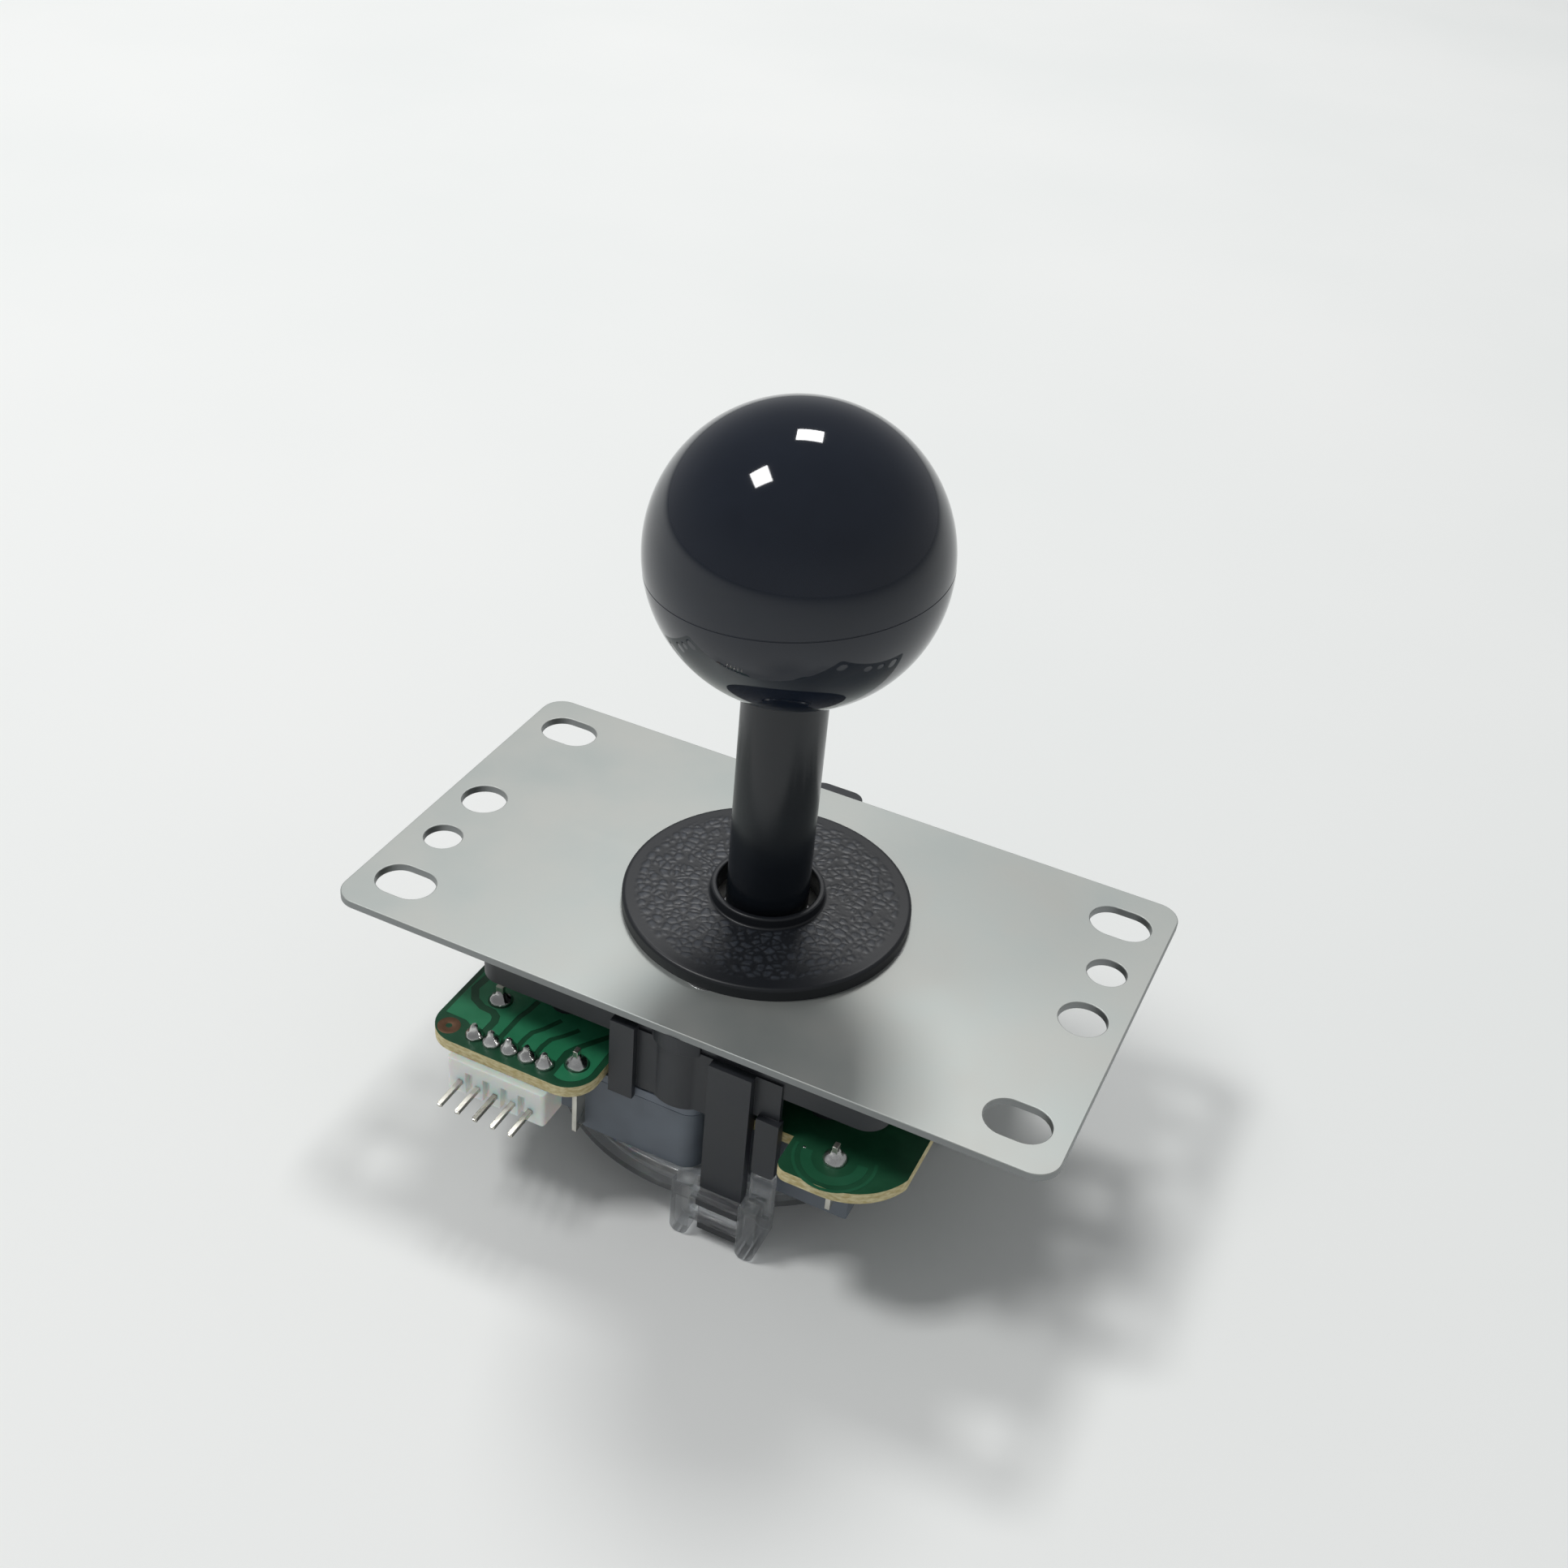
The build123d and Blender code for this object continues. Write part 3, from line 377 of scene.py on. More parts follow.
# Ball top: lengths in millimetres, turns in degrees. The seam is the mould's parting line, and its
# groove is given as heights over the seam, each with its share of the depth.

ball = {"bore": 3.3, "boreDepth": 1.2, "rimWidth": 0.35, "rimTurn": 0.8, "steps": 160, "rings": 110,
        "seamDrop": 0.9, "seamDepth": 0.06, "seamReach": 1.0,
        "groove": ((-1.0, 0), (-0.4, 0), (-0.09, 0), (-0.04, 0.8), (0, 1), (0.04, 0.8), (0.09, 0), (0.4, 0),
                   (1.0, 0)),
        "seamTurn": 5.5, "seamAxis": (0.386, -0.922, 0), "skin": 0.3, "turnFrom": 0.6, "turnOver": 9.0}


def turnSeam(mesh, centre, flat, radius):
    # The parting line doesn't stand square to the lever: the sphere's skin is turned a few degrees
    # about its centre, less and less towards the flat underneath.
    middle = Vector((0, 0, centre * millimetre))
    for vert in mesh.vertices:
        arm = vert.co - middle
        if arm.length < (radius - ball["skin"]) * millimetre:
            continue
        share = (vert.co.z / millimetre - flat - ball["turnFrom"]) / ball["turnOver"]
        share = min(max(share, 0.0), 1.0)
        share = share * share * (3 - 2 * share)  # soft start and end
        turn = Matrix.Rotation(math.radians(ball["seamTurn"] * share), 3, ball["seamAxis"])
        vert.co = middle + turn @ arm


def ballTop():
    radius, flat, top = turnedSize("ball_top")
    centre = top - radius
    seam = centre - ball["seamDrop"]
    flatRadius = math.sqrt(radius ** 2 - (centre - flat) ** 2)
    start = math.degrees(math.asin((flat - centre) / radius)) + ball["rimTurn"]
    points = [(ball["bore"], flat + ball["boreDepth"]), (ball["bore"], flat),
              (flatRadius - ball["rimWidth"], flat)]
    for across, height in arcPoints(0, centre, radius, start, 90, ball["rings"]):
        if abs(height - seam) < ball["seamReach"]:
            continue
        if height > seam and points[-1][1] < seam:
            for rise, share in ball["groove"]:
                onSphere = math.sqrt(radius ** 2 - (seam + rise - centre) ** 2)
                points.append((onSphere - share * ball["seamDepth"], seam + rise))
        points.append((across, height))
    points[-1] = (0.0, top)
    # The profile ends at the top, so the shell stays open at the inner end of its bore.
    mesh = latheMesh("ball_top_shell", points, ballGloss, ball["steps"], closed=False)
    turnSeam(mesh, centre, flat, radius)
    return finishPiece(linkedObject("ball_top_shell", mesh), "lever", "ball_plastic", "ball_top")


# Sleeve over the shaft

sleeve = {"bore": 4.15, "endRound": 0.35, "steps": 128}


def sleeveTube():
    outer, bottom, top = turnedSize("shaft_sleeve")
    edge = sleeve["endRound"]
    points = [(sleeve["bore"], bottom), (outer - edge, bottom)]
    points += arcPoints(outer - edge, bottom + edge, edge, -90, 0, 6)
    points += arcPoints(outer - edge, top - edge, edge, 0, 90, 6)
    points.append((sleeve["bore"], top))
    mesh = latheMesh("sleeve_tube", points, tubeGloss, sleeve["steps"])
    return finishPiece(linkedObject("sleeve_tube", mesh), "lever", "sleeve_plastic", "shaft_sleeve")


# Dust washer with its pebbled face, in millimetres: its section first, then the pebbles

washer = {"bore": 6.45, "collar": 7.25, "collarRound": 0.25, "collarFoot": 0.25, "hubWidth": 1.0,
          "hubLift": 0.4, "web": 0.75, "top": 1.75, "rim": 0.45, "rimWidth": 2.4, "steps": 480,
          "ringStep": 0.17, "pebble": 1.1, "pebbleHeight": 0.075, "border": 1.6, "collarGap": 0.3,
          "fade": 0.5, "faceDepth": 0.05, "bend": 0.9, "bendSize": 2.2, "lumpSize": 0.8, "seed": 4.0}


def washerTree():
    tree, given = newGeometryTree("washerGrain", [
        ("Pebble Size", "NodeSocketFloat", 0.0015), ("Pebble Height", "NodeSocketFloat", 0.0001),
        ("Inner Radius", "NodeSocketFloat", 0.008), ("Outer Radius", "NodeSocketFloat", 0.016),
        ("Face Height", "NodeSocketFloat", 0.0017), ("Seed", "NodeSocketFloat", 0.0)])
    place = addNode(tree, "GeometryNodeInputPosition").outputs[0]
    drift = addNode(tree, "ShaderNodeTexNoise", {"Vector": place, "Scale": perMetre(washer["bendSize"]),
                                                 "Detail": 2.0})
    bend = addNode(tree, "ShaderNodeVectorMath", {0: drift.outputs["Color"],
                                                  "Scale": washer["bend"] * millimetre}, operation="SCALE")
    warped = addNode(tree, "ShaderNodeVectorMath", {0: place, 1: bend.outputs[0]}, operation="ADD")
    cells = addNode(tree, "ShaderNodeMath", {0: 1.0, 1: given["Pebble Size"]}, operation="DIVIDE")
    pebbles = addNode(tree, "ShaderNodeTexVoronoi", {"Vector": warped.outputs[0], "W": given["Seed"],
                                                     "Scale": cells.outputs[0], "Randomness": 1.0},
                      voronoi_dimensions="4D", feature="DISTANCE_TO_EDGE")
    dome = addNode(tree, "ShaderNodeMapRange", {"Value": pebbles.outputs["Distance"], "From Min": 0.05,
                                                "From Max": 0.19}, interpolation_type="SMOOTHSTEP")
    lumps = addNode(tree, "ShaderNodeTexNoise", {"Vector": place, "Scale": perMetre(washer["lumpSize"]),
                                                 "Detail": 2.0})
    lifted = addNode(tree, "ShaderNodeMapRange", {"Value": lumps.outputs["Fac"], "From Min": 0.3,
                                                  "From Max": 0.7, "To Min": 0.6, "To Max": 1.0})
    uneven = addNode(tree, "ShaderNodeMath", {0: dome.outputs[0], 1: lifted.outputs["Result"]},
                     operation="MULTIPLY")
    apart = addNode(tree, "ShaderNodeSeparateXYZ", {"Vector": place})
    level = addNode(tree, "ShaderNodeCombineXYZ", {"X": apart.outputs["X"], "Y": apart.outputs["Y"]})
    radius = addNode(tree, "ShaderNodeVectorMath", {0: level.outputs[0]}, operation="LENGTH")
    fade = washer["fade"] * millimetre
    innerEnd = addNode(tree, "ShaderNodeMath", {0: given["Inner Radius"], 1: fade}, operation="ADD")
    outerEnd = addNode(tree, "ShaderNodeMath", {0: given["Outer Radius"], 1: fade}, operation="SUBTRACT")
    inner = addNode(tree, "ShaderNodeMapRange", {"Value": radius.outputs["Value"],
                                                 "From Min": given["Inner Radius"],
                                                 "From Max": innerEnd.outputs[0]})
    outer = addNode(tree, "ShaderNodeMapRange", {"Value": radius.outputs["Value"],
                                                 "From Min": given["Outer Radius"],
                                                 "From Max": outerEnd.outputs[0]})
    onFace = addNode(tree, "ShaderNodeMath", {0: apart.outputs["Z"], 1: given["Face Height"]},
                     operation="GREATER_THAN")
    ring = addNode(tree, "ShaderNodeMath", {0: inner.outputs[0], 1: outer.outputs[0]}, operation="MULTIPLY")
    mask = addNode(tree, "ShaderNodeMath", {0: ring.outputs[0], 1: onFace.outputs[0]}, operation="MULTIPLY")
    height = addNode(tree, "ShaderNodeMath", {0: uneven.outputs[0], 1: mask.outputs[0]},
                     operation="MULTIPLY")
    stored = addNode(tree, "GeometryNodeStoreNamedAttribute", {
        "Geometry": given["Geometry"], "Name": "pebble", "Value": height.outputs[0]},
        data_type="FLOAT", domain="POINT")
    rise = addNode(tree, "ShaderNodeMath", {0: height.outputs[0], 1: given["Pebble Height"]},
                   operation="MULTIPLY")
    up = addNode(tree, "ShaderNodeCombineXYZ", {"Z": rise.outputs[0]})
    moved = addNode(tree, "GeometryNodeSetPosition", {"Geometry": stored.outputs[0],
                                                      "Offset": up.outputs[0]})
    endTree(tree, moved.outputs[0], washerPlastic)
    return tree


def dustWasher():
    outer, bottom, collarTop = turnedSize("dust_washer")
    bore, collar, curl, foot = washer["bore"], washer["collar"], washer["collarRound"], washer["collarFoot"]
    top, rim, web, lift = washer["top"], washer["rim"], washer["web"], washer["hubLift"]
    hub, hollow = collar + washer["hubWidth"], outer - washer["rimWidth"]
    points = [(bore, lift), (hub, lift), (hub, web), (hollow, web), (hollow, bottom), (outer, bottom)]
    points += arcPoints(outer - rim, top - rim, rim, 0, 90, 7)
    face = outer - rim - (collar + foot)
    count = int(face / washer["ringStep"])
    points += [(outer - rim - face * k / count, top) for k in range(1, count + 1)]
    points += arcPoints(collar + foot, top + foot, foot, 270, 180, 4)[1:]
    points += arcPoints(collar - curl, collarTop - curl, curl, 0, 90, 5)
    points += arcPoints(bore + curl, collarTop - curl, curl, 90, 180, 5)
    host = latheMesh("washerHost", points, washerPlastic, washer["steps"])
    piece = grownPiece("pebbled_washer", washerTree(), host, {
        "Pebble Size": washer["pebble"] * millimetre, "Pebble Height": washer["pebbleHeight"] * millimetre,
        "Inner Radius": (collar + washer["collarGap"]) * millimetre,
        "Outer Radius": (outer - washer["border"]) * millimetre,
        "Face Height": (top - washer["faceDepth"]) * millimetre, "Seed": washer["seed"]})
    return finishPiece(piece, "base", "washer_plastic", "dust_washer")


# Circuit board, in millimetres. What lies on it stands sunk a little into its top, and the cutters
# reach past the copper by "cut" above and below.

board ={"copperRise": 0.03, "sunk": 0.02, "padGap": 0.3, "leftLobeFront": -20.0, "cut": 1.0}


def boardTop():
    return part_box("circuit_board")[1].z / millimetre


# Outlines of the copper on the front left lobe, and the gaps cut in it: width, then points
# along each gap, all in millimetres.
mainPour = [(-30.2, -14.0), (-30.2, -27.3), (-27.2, -27.35), (-26.4, -27.75), (-24.6, -27.85),
            (-13.9, -27.95), (-13.95, -26.0), (-13.3, -24.6), (-12.0, -22.6), (-10.6, -20.6), (-10.6, -14.0)]
padIsland = ([(-9.2, -14.0), (-9.7, -20.6), (-11.1, -22.8), (-12.4, -24.8), (-13.0, -26.2), (-12.95, -30.1),
              (-12.3, -30.3)] + arcPoints(-12.0, -27.5, 2.85, 275, 355, 8))
copperGaps = [
    (1.0, [(-29.1, -18.0), (-29.3, -20.1), (-29.5, -21.9), (-28.4, -23.6), (-26.8, -24.4), (-25.2, -24.5),
           (-24.4, -25.0), (-24.05, -25.9), (-24.1, -28.4)]),
    (0.75, [(-21.3, -20.0), (-21.5, -22.1), (-21.85, -23.6), (-21.9, -28.4)]),
    (0.7, [(-17.0, -21.5), (-18.1, -23.9), (-19.0, -25.2), (-19.2, -26.5), (-19.2, -28.4)]),
    (0.7, [(-14.2, -21.9), (-15.3, -23.7), (-16.4, -25.1), (-16.7, -26.6), (-16.65, -28.4)])]


def boardPiece():
    # The board's own form: green mask above and below, raw laminate at its edges.
    shape = mergedCopy("circuit_board")
    for face in shape.faces:
        face.material_index = 0 if abs(face.normal.z) > 0.5 else 1
    piece = linkedObject("board_laminate", meshFromBmesh("board_laminate", shape, [maskBare, laminate]))
    flatFaces(piece)
    return finishPiece(piece, "base", "board_laminate", "circuit_board")


def stripShape(shape, points, widthMm, low, high):
    # A flat strip of one width along the points, from one level to another.
    line = [Vector((x, y, 0)) for x, y in points]
    left, right = [], []
    for k, point in enumerate(line):
        before = (point - line[k - 1]).normalized() if k else (line[1] - point).normalized()
        after = (line[k + 1] - point).normalized() if k < len(line) - 1 else before
        along = (before + after).normalized()
        side = Vector((-along.y, along.x, 0)) * widthMm / 2 / max(along.dot(after), 0.5)
        left.append(point + side)
        right.append(point - side)
    rows = [[shape.verts.new((p.x * millimetre, p.y * millimetre, z * millimetre)) for p in side]
            for side in (left, right) for z in (low, high)]
    leftLow, leftHigh, rightLow, rightHigh = rows
    for k in range(len(line) - 1):
        for a, b in ((leftLow, leftHigh), (leftHigh, rightHigh), (rightHigh, rightLow), (rightLow, leftLow)):
            shape.faces.new((a[k], a[k + 1], b[k + 1], b[k]))
    for k in (0, -1):
        shape.faces.new((leftLow[k], leftHigh[k], rightHigh[k], rightLow[k]))
    bmesh.ops.recalc_face_normals(shape, faces=shape.faces)


def cutMesh(target, cutters):
    # The target with the cutters taken out, as a plain mesh.
    for cutter in cutters:
        step = target.modifiers.new("cut", "BOOLEAN")
        step.object = cutter
        step.operation = "DIFFERENCE"
        step.solver = "EXACT"
    bpy.context.view_layer.update()
    mesh = bpy.data.meshes.new_from_object(target.evaluated_get(bpy.context.evaluated_depsgraph_get()))
    for old in [target] + cutters:
        bpy.data.objects.remove(old)
    return mesh


def solderPlaces():
    # Middle, foot level and radius of each solder joint, in metres.
    shape = mergedCopy("solder_joints")
    places = []
    left = set(shape.verts)
    while left:
        island, grow = set(), [next(iter(left))]
        while grow:
            vert = grow.pop()
            if vert in island:
                continue
            island.add(vert)
            grow += [edge.other_vert(vert) for edge in vert.link_edges]
        left -= island
        low = [min(v.co[i] for v in island) for i in range(3)]
        high = [max(v.co[i] for v in island) for i in range(3)]
        places.append(((low[0] + high[0]) / 2, (low[1] + high[1]) / 2, low[2], (high[0] - low[0]) / 2))
    shape.free()
    return sorted(places)


def prismShape(shape, outline, low, high):
    # An upright prism over the outline, given in millimetres.
    base = shape.faces.new([shape.verts.new((x * millimetre, y * millimetre, low * millimetre))
                            for x, y in outline])
    lifted = bmesh.ops.extrude_face_region(shape, geom=[base])
    for item in lifted["geom"]:
        if isinstance(item, bmesh.types.BMVert):
            item.co.z = high * millimetre
    bmesh.ops.recalc_face_normals(shape, faces=shape.faces)


def gapCutters(gaps, low, high):
    cutters = []
    for width, points in gaps:
        shape = bmesh.new()
        stripShape(shape, points, width, low, high)
        cutters.append(linkedObject("gapCutter", meshFromBmesh("gapCutter", shape, [maskCopper])))
    return cutters


def padCutters(places, low, high):
    # A ring of bare laminate round each solder joint of the front left lobe.
    cutters = []
    for x, y, foot, radius in places:
        if x < 0 and y < board["leftLobeFront"] * millimetre:
            reach = radius / millimetre + board["padGap"]
            mesh = latheMesh("padCutter", [(0, low), (reach, low), (reach, high), (0, high)], maskCopper, 32,
                             closed=False, at=(x / millimetre, y / millimetre))
            cutters.append(linkedObject("padCutter", mesh))
    return cutters


def copperUnderMask(places):
    # Copper under the mask stands a little proud, with gaps between its areas.
    top = boardTop()
    low, high = top - board["cut"], top + board["cut"]
    slabs = []
    for outline, gaps in ((mainPour, copperGaps), (padIsland, [])):
        shape = bmesh.new()
        prismShape(shape, outline, top - board["sunk"], top + board["copperRise"])
        slab = linkedObject("copperSlab", meshFromBmesh("copperSlab", shape, [maskCopper]))
        slabs.append(cutMesh(slab, gapCutters(gaps, low, high) + padCutters(places, low, high)))
    shape = bmesh.new()
    for mesh in slabs:
        shape.from_mesh(mesh)
    piece = linkedObject("copper_areas", meshFromBmesh("copper_areas", shape, [maskCopper]))
    flatFaces(piece)
    return finishPiece(piece, "base", "board_laminate")


# Reach and width of each track round the right lobe's pad, in millimetres, and where its arc starts
# and ends, in degrees: a wider arc runs further round.
tracks = {"x": 22.2, "y": -25.5, "rings": ((3.4, 1.3), (4.9, 0.4)), "start": 195, "startPerReach": 4,
          "end": 350, "endPerReach": 6, "steps": 26}


def maskedTracks():
    top = boardTop()
    shape = bmesh.new()
    for reach, width in tracks["rings"]:
        start = tracks["start"] - reach * tracks["startPerReach"]
        end = tracks["end"] + reach * tracks["endPerReach"]
        arc = arcPoints(tracks["x"], tracks["y"], reach, start, end, tracks["steps"])
        stripShape(shape, arc, width, top - board["sunk"], top + board["copperRise"])
    piece = linkedObject("masked_tracks", meshFromBmesh("masked_tracks", shape, [maskTrack]))
    flatFaces(piece)
    return finishPiece(piece, "base", "board_laminate")


viaDot = {"x": 18.3, "y": -25.5, "radius": 0.2, "rise": 0.12, "rows": 6, "steps": 20}


def tinnedDot():
    # One bright bead of tin in a via.
    foot = boardTop() - board["sunk"]
    profile = [(0, foot)]
    for row in range(viaDot["rows"]):
        lean = math.pi / 2 * row / viaDot["rows"]
        profile.append((viaDot["radius"] * math.cos(lean), foot + viaDot["rise"] * math.sin(lean)))
    profile.append((0, foot + viaDot["rise"]))
    mesh = latheMesh("tinned_dot", profile, solderSkin, viaDot["steps"], closed=False,
                     at=(viaDot["x"], viaDot["y"]))
    return finishPiece(linkedObject("tinned_dot", mesh), "base", "solder")


testRing = {"x": -28.5, "y": -29.2, "outer": 1.45, "inner": 0.4, "rise": 0.05, "flatShare": 0.6, "steps": 40}


def testPad():
    # Bare copper ring at the board's corner.
    top = boardTop()
    raised = top + testRing["rise"]
    middle = (testRing["outer"] + testRing["inner"]) / 2
    half = (testRing["outer"] - testRing["inner"]) / 2
    flat = half * testRing["flatShare"]
    profile = [(middle - half, top), (middle - flat, raised), (middle + flat, raised), (middle + half, top),
               (middle, top - board["sunk"])]
    mesh = latheMesh("test_pad", profile, bareCopper, testRing["steps"], at=(testRing["x"], testRing["y"]))
    return finishPiece(linkedObject("test_pad", mesh), "base", "board_laminate")


# The profile is in shares of the joint's radius and height; a joint over smallRadius is lower.
solder = {"seed": 3, "height": 1.95, "spread": 1.12, "smallRadius": 1.2, "wideHeight": 0.9,
          "unevenness": 0.3, "rippleSize": 0.9, "steps": 28,
          "profile": [(0.97, 0.0), (1.0, 0.05), (0.99, 0.13), (0.94, 0.23), (0.84, 0.34), (0.71, 0.45),
                      (0.58, 0.56), (0.47, 0.68), (0.39, 0.80), (0.33, 0.91), (0.25, 0.97), (0.0, 1.0)]}


def solderTree():
    tree, given = newGeometryTree("solderCones", [
        ("Cone", "NodeSocketObject", None), ("Unevenness", "NodeSocketFloat", 0.00006),
        ("Turn Seed", "NodeSocketInt", 3)])
    cone = addNode(tree, "GeometryNodeObjectInfo", {"Object": given["Cone"]})
    size = addNode(tree, "GeometryNodeInputNamedAttribute", {"Name": "coneSize"}, data_type="FLOAT_VECTOR")
    turn = addNode(tree, "FunctionNodeRandomValue", {2: 0.0, 3: 2 * math.pi, "Seed": given["Turn Seed"]},
                   data_type="FLOAT")
    angles = addNode(tree, "ShaderNodeCombineXYZ", {"Z": turn.outputs[1]})
    placed = addNode(tree, "GeometryNodeInstanceOnPoints", {
        "Points": given["Geometry"], "Instance": cone.outputs["Geometry"], "Rotation": angles.outputs[0],
        "Scale": size.outputs["Attribute"]})
    whole = addNode(tree, "GeometryNodeRealizeInstances", {"Geometry": placed.outputs[0]})
    spot = addNode(tree, "GeometryNodeInputPosition").outputs[0]
    ripple = addNode(tree, "ShaderNodeTexNoise", {"Vector": spot, "Scale": perMetre(solder["rippleSize"]),
                                                  "Detail": 1.0})
    centred = addNode(tree, "ShaderNodeVectorMath", {0: ripple.outputs["Color"], 1: (0.5, 0.5, 0.5)},
                      operation="SUBTRACT")
    shift = addNode(tree, "ShaderNodeVectorMath", {0: centred.outputs[0], "Scale": given["Unevenness"]},
                    operation="SCALE")
    moved = addNode(tree, "GeometryNodeSetPosition", {"Geometry": whole.outputs[0],
                                                      "Offset": shift.outputs[0]})
    endTree(tree, moved.outputs[0], solderSkin)
    return tree


def solderCones(places):
    # A small hollow-sided cone of solder round each pin and terminal tail, open at its foot.
    template = latheMesh("solderTemplate", solder["profile"], solderSkin, solder["steps"], closed=False)
    cone = linkedObject("solderTemplate", template)
    host = bpy.data.meshes.new("solderPoints")
    host.from_pydata([(x, y, foot) for x, y, foot, radius in places], [], [])
    sizes = host.attributes.new("coneSize", "FLOAT_VECTOR", "POINT")
    for k, (x, y, foot, radius) in enumerate(places):
        small = radius < solder["smallRadius"] * millimetre
        across = radius / millimetre * solder["spread"]
        sizes.data[k].vector = (across, across, solder["height"] * (1.0 if small else solder["wideHeight"]))
    piece = grownPiece("solder_cones", solderTree(), host, {
        "Cone": cone, "Unevenness": solder["unevenness"] * millimetre, "Turn Seed": solder["seed"]})
    bpy.data.objects.remove(cone)
    return finishPiece(piece, "base", "solder", "solder_joints")


# Return spring

spring = {"turns": 6, "deadTurns": 0.9, "deadPitch": 1.02, "wire": 0.9, "mean": 9.2, "side": 16, "steps": 64}


def springTree():
    tree, given = newGeometryTree("springWire", [("Wire Radius", "NodeSocketFloat", 0.00045)])
    path = addNode(tree, "GeometryNodeMeshToCurve", {"Mesh": given["Geometry"]})
    ring = addNode(tree, "GeometryNodeCurvePrimitiveCircle", {"Resolution": spring["side"],
                                                              "Radius": given["Wire Radius"]})
    wire = addNode(tree, "GeometryNodeCurveToMesh", {"Curve": path.outputs[0], "Fill Caps": True,
                                                     "Profile Curve": ring.outputs["Curve"]})
    endTree(tree, wire.outputs[0], springWire)
    return tree


def returnSpring():
    # Helix with closed ends between the seat and the bottom of the actuator's cup.
    low, high = turnedSize("return_spring")[1:]
    wire, turns, dead, steps = spring["wire"], spring["turns"], spring["deadTurns"], spring["steps"]
    deadRise = wire * spring["deadPitch"]  # the end turns lie almost on each other
    liveRise = (high - low - wire - 2 * dead * deadRise) / turns
    points = []
    for k in range(int((turns + 2 * dead) * steps) + 1):
        turn = k / steps
        deadTurn = min(turn, dead) + max(turn - turns - dead, 0)
        height = low + wire / 2 + deadTurn * deadRise + (turn - deadTurn) * liveRise
        across = spring["mean"] / 2 * millimetre
        points.append((across * math.cos(2 * math.pi * turn), across * math.sin(2 * math.pi * turn),
                       height * millimetre))
    host = bpy.data.meshes.new("springPath")
    host.from_pydata(points, [(k, k + 1) for k in range(len(points) - 1)], [])
    piece = grownPiece("coil_spring", springTree(), host, {"Wire Radius": wire / 2 * millimetre})
    return finishPiece(piece, "pivot_ball", "spring_steel", "return_spring")


# Pieces that keep the form of their node, with joined faces and small rounded edges:
# node, piece, body, slot, material, edge radius in millimetres.

plainPieces = [
    ("mounting_plate", "plate_sheet", "base", "zinc_plated_steel", plateZinc, 0),
    ("plate_screws", "countersunk_screws", "base", "screw_steel", screwZinc, 0.25),
    ("housing", "housing_shell", "base", "housing_nylon", housingNylon, 0.18),
    ("pivot", "pivot_bearing", "pivot_ball", "pivot_acetal", acetalWhite, 0.2),
    ("spring_seat", "spring_cap", "pivot_ball", "seat_acetal", acetalBlack, 0.12),
    ("actuator", "actuator_collar", "lever", "actuator_acetal", acetalBlack, 0.12),
    ("shaft", "shaft_rod", "lever", "shaft_steel", rodSteel, 0.06),
    ("thrust_washer", "plain_washer", "lever", "screw_steel", screwZinc, 0.1),
    ("retaining_ring", "snap_ring", "lever", "spring_steel", springWire, 0.1),
    ("ball_insert", "thread_insert", "lever", "insert_brass", turnedBrass, 0.15),
    ("header_housing", "header_block", "base", "header_plastic", headerNylon, 0.2),
    ("header_pins", "square_pins", "base", "tinned_pins", tinPlate, 0.05),
    ("gate_cover", "gate_shell", "base", "clear_plastic", clearPlastic, 0.22),
    ("gate_insert", "gate_plate", "base", "clear_plastic", clearPlastic, 0.15)]
for quarter in quarterNames:
    plainPieces += [
        (f"switch_case_{quarter}", f"case_shell_{quarter}", "base", "switch_plastic", switchGrey, 0.15),
        (f"switch_cover_{quarter}", f"cover_plate_{quarter}", "base", "switch_cover_plastic", coverGrey,
         0.12),
        (f"switch_terminals_{quarter}", f"tin_terminals_{quarter}", "base", "tinned_pins", tinPlate, 0.05),
        (f"switch_plunger_{quarter}", f"plunger_pin_{quarter}", f"plunger_{quarter}", "plunger_plastic",
         plungerBlack, 0.1),
        (f"switch_arm_{quarter}", f"arm_strip_{quarter}", f"arm_{quarter}", "arm_steel", stripSteel, 0.04)]
for node, name, body, slot, material, edge in plainPieces:
    dressedCopy(node, name, body, slot, [material], edge)
print("plain pieces made:", len(plainPieces))

ballTop()
sleeveTube()
dustWasher()
print("ball, sleeve and washer made")
solderSpots = solderPlaces()
boardPiece()
copperUnderMask(solderSpots)
maskedTracks()
tinnedDot()
testPad()
solderCones(solderSpots)
print("board made with", len(solderSpots), "solder cones")
returnSpring()
print("spring made")


# Floor, lamps and backdrop

stage = {"floorSize": 8.0, "floorColours": ("#f1f3f1", "#f4f5f3"), "lampPower": 10.0, "lampSide": 0.34,
         "skyColour": "#fafcff", "skyLow": 0.36, "skyHigh": 0.28}


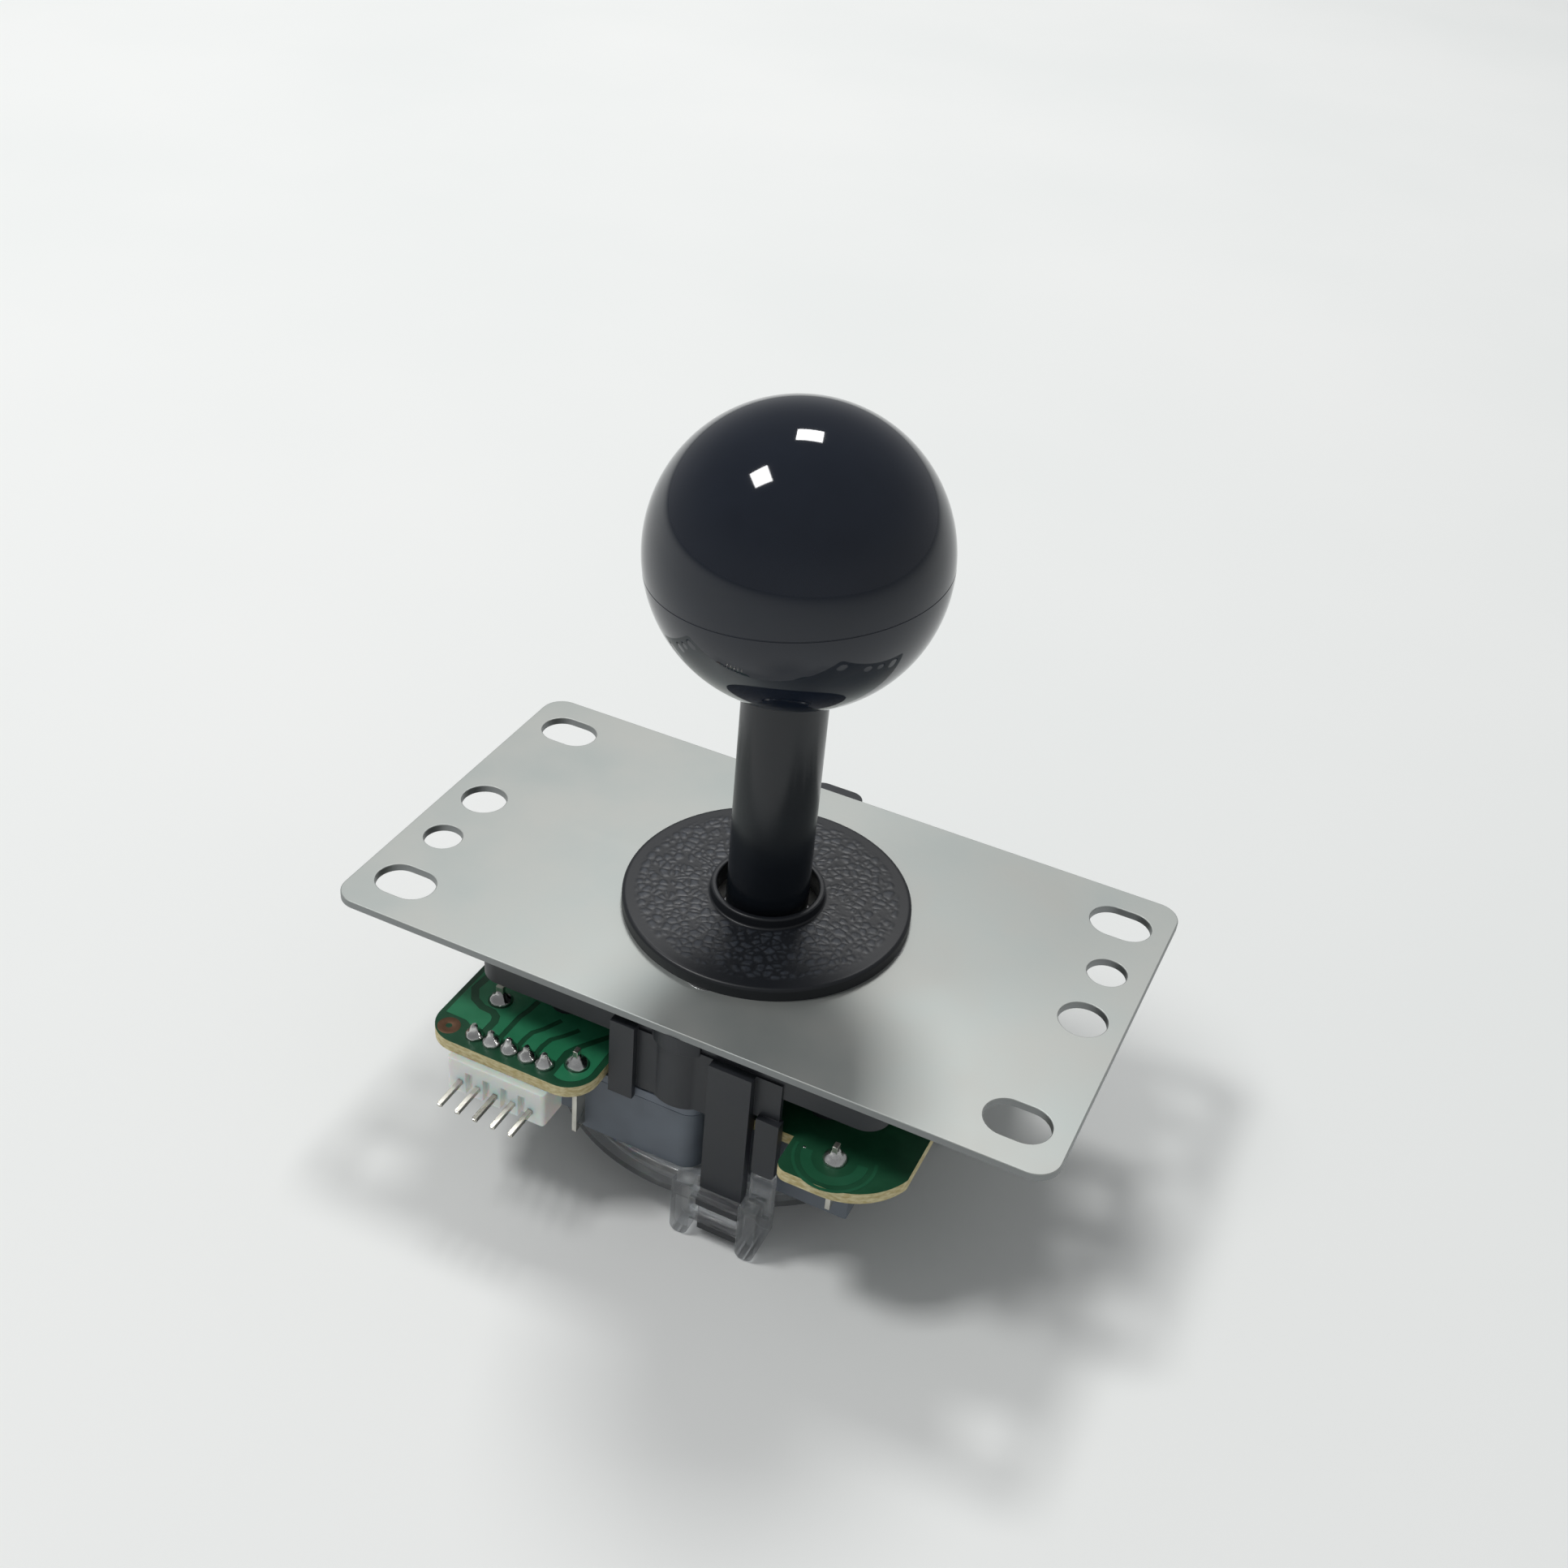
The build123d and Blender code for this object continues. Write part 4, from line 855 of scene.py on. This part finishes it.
def floorSheet():
    # Matt white laminate table: even, with a faint broad shine.
    material, tree, shader = startMaterial("paleTableLaminate", stage["floorColours"][0], 0.6, IOR=1.45,
                                           Specular_IOR_Level=0.2)
    mottle(tree, shader, stage["floorColours"], 180.0, (0.55, 0.65))
    mesh = bpy.data.meshes.new("tableTop")
    half = stage["floorSize"] / 2
    level = cadBox[0][2]
    corners = [(-half, -half, level), (half, -half, level), (half, half, level), (-half, half, level)]
    mesh.from_pydata(corners, [], [(0, 1, 2, 3)])
    mesh.materials.append(material)
    linkedObject("tableTop", mesh)


# Two square ceiling lamps, where the ball's two highlights show them.
ceilingLamps = {"backLamp": ((-0.30, 0.72, 1.35), 20), "leftLamp": ((-0.63, -0.34, 1.39), 35)}


def lampSquare(name, place, turnDeg):
    light = bpy.data.lights.new(name, "AREA")
    light.shape = "SQUARE"
    light.size = stage["lampSide"]
    light.energy = stage["lampPower"]
    lamp = linkedObject(name, light)
    lamp.location = place
    lamp.rotation_euler = (0, 0, math.radians(turnDeg))


def paleSky():
    # Paler near the horizon and dimmer overhead, as a room with light walls.
    world = bpy.data.worlds.new("room")
    world.use_nodes = True
    tree = world.node_tree
    direction = addNode(tree, "ShaderNodeTexCoord").outputs["Generated"]
    apart = addNode(tree, "ShaderNodeSeparateXYZ", {"Vector": direction})
    fade = addNode(tree, "ShaderNodeMapRange", {"Value": apart.outputs["Z"], "From Min": 0.05,
                                                "From Max": 0.6, "To Min": stage["skyLow"],
                                                "To Max": stage["skyHigh"]},
                   interpolation_type="SMOOTHSTEP")
    background = tree.nodes["Background"]
    background.inputs["Color"].default_value = linearColour(stage["skyColour"])
    tree.links.new(fade.outputs["Result"], background.inputs["Strength"])
    bpy.context.scene.world = world


# Place in metres and turn in degrees, fitted to the plate's outline and holes.
photoView = {"sensor": 36.0, "lens": 41.344, "place": (0.068313, -0.163441, 0.145333),
             "turn": (54.3168, -4.4535, 25.6267), "near": 0.01, "far": 50.0}


def photoCamera():
    camera = bpy.data.cameras.new("camera")
    camera.sensor_width = photoView["sensor"]
    camera.lens = photoView["lens"]
    camera.clip_start = photoView["near"]
    camera.clip_end = photoView["far"]
    holder = linkedObject("camera", camera)
    holder.location = photoView["place"]
    holder.rotation_euler = Euler([math.radians(angle) for angle in photoView["turn"]])
    bpy.context.scene.camera = holder


floorSheet()
for lampName, (place, turn) in ceilingLamps.items():
    lampSquare(lampName, place, turn)
paleSky()
photoCamera()
bpy.context.scene.view_settings.view_transform = "Standard"
print("stage, lamps and camera made")
